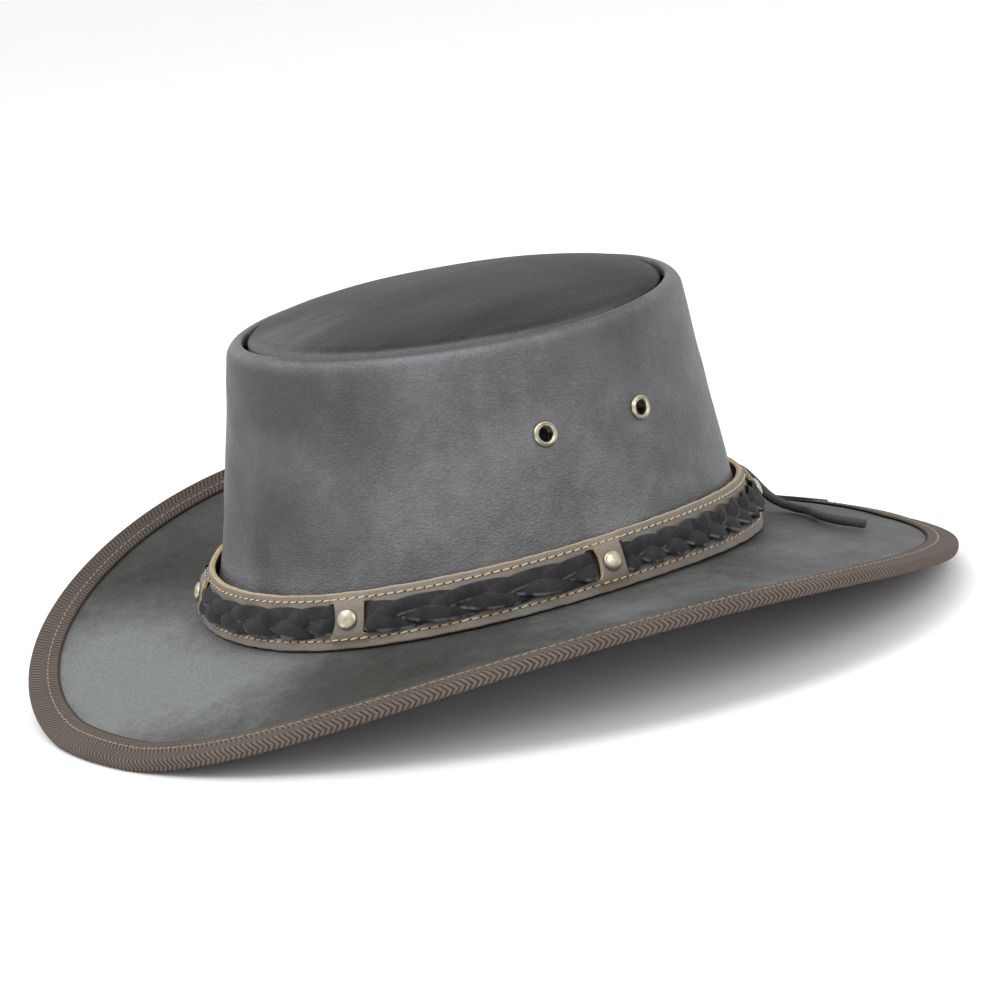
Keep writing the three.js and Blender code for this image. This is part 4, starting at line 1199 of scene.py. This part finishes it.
class HAT_OT_metal(bpy.types.Operator):
    """The domed rivets on the bridges and the eyelets in the crown"""
    bl_idname = "hat.metal"
    bl_label = "Rivets and eyelets"

    def execute(self, context):
        tints = context.scene.hat_colours
        brass = aged_brass(tints.brass, linear("#a19a84"))
        self.set_pieces("rivets", self.cap(), [f"rivet_{k + 1}" for k in range(6)], brass,
                        [strap_point(at, 0.0, 0.04) for at in RIVET_LENGTHS])
        names = ["eyelet_left_1", "eyelet_left_2", "eyelet_right_1", "eyelet_right_2"]
        self.set_pieces("eyelets", self.ring(), names, brass,
                        [lifted(crown_outside, at, EYELET["height"], 0.0) for at in eyelet_places()])
        return {"FINISHED"}

    @staticmethod
    def cap():
        profile = [(1.2, -1.9), (1.2, -0.2), (3.3, -0.2), (3.62, 0.0), (3.72, 0.25), (3.66, 0.5)]
        profile += [(3.62 * math.cos(t), 0.5 + 1.25 * math.sin(t))
                    for t in np.radians(np.linspace(8, 84, 10))]
        rows = turned(profile, CAP_SIDES)
        return skin("cap", rows, wrap_across=False, poles=np.array([[0, 0, -1.9], [0, 0, 1.76]]))

    @staticmethod
    def ring():
        bore, outer, tube_out = EYELET["bore"] / 2, EYELET["outer"] / 2, EYELET["tube"] / 2
        deep = -LEATHER - 0.2
        lip = [(bore + 0.12 + 1.05 * (1 - math.cos(t)), 0.35 + 0.95 * math.sin(t))
               for t in np.radians(np.linspace(0, 90, 7))]
        fall = [(outer - 1.05 + 1.05 * math.sin(t), 0.1 + 1.2 * math.cos(t))
                for t in np.radians(np.linspace(0, 90, 7))]
        profile = [(bore, deep - 0.4)] + lip + fall + [(outer - 0.3, 0.02), (tube_out, 0.02),
                                                       (tube_out, deep),
                                                       (outer - 0.8, deep), (outer - 0.7, deep - 0.3),
                                                       (bore + 0.4, deep - 0.8)]
        rows = turned(profile, RING_SIDES)
        return skin("ring", rows[::-1])

    @staticmethod
    def set_pieces(name, piece, nodes, finish, spots):
        points = np.array([point for point, _ in spots])
        outs = np.array([out for _, out in spots])
        piece.hide_render = True
        row = set_in_row(name, points, outs, piece, finish)
        remove(piece)
        dress(row, "brass", nodes, finish)


class HAT_PT_panel(bpy.types.Panel):
    """Builds the hat's pieces one by one"""
    bl_label = "Leather bush hat"
    bl_idname = "HAT_PT_panel"
    bl_space_type = "VIEW_3D"
    bl_region_type = "UI"
    bl_category = "Hat"

    def draw(self, context):
        for operator in OPERATORS:
            self.layout.operator(operator.bl_idname)
        for group in (context.scene.hat_sizes, context.scene.hat_colours):
            for name in group.bl_rna.properties.keys():
                if name not in ("rna_type", "name"):
                    self.layout.prop(group, name)


OPERATORS = (HAT_OT_stage, HAT_OT_lace, HAT_OT_crown, HAT_OT_brim, HAT_OT_strap, HAT_OT_plait, HAT_OT_metal)
CLASSES = (HatSizes, HatColours, *OPERATORS, HAT_PT_panel)


def register():
    for cls in CLASSES:
        bpy.utils.register_class(cls)
    bpy.types.Scene.hat_sizes = bpy.props.PointerProperty(type=HatSizes)
    bpy.types.Scene.hat_colours = bpy.props.PointerProperty(type=HatColours)


def unregister():
    del bpy.types.Scene.hat_colours
    del bpy.types.Scene.hat_sizes
    for cls in reversed(CLASSES):
        bpy.utils.unregister_class(cls)


def corners(bounds):
    return [[float(value) for value in corner] for corner in bounds]


def main():
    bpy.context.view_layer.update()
    register()
    bpy.ops.hat.stage()
    bpy.ops.hat.lace()
    bpy.ops.hat.crown()
    bpy.ops.hat.brim()
    bpy.ops.hat.strap()
    bpy.ops.hat.plait()
    bpy.ops.hat.metal()


if __name__ == "__main__":
    main()
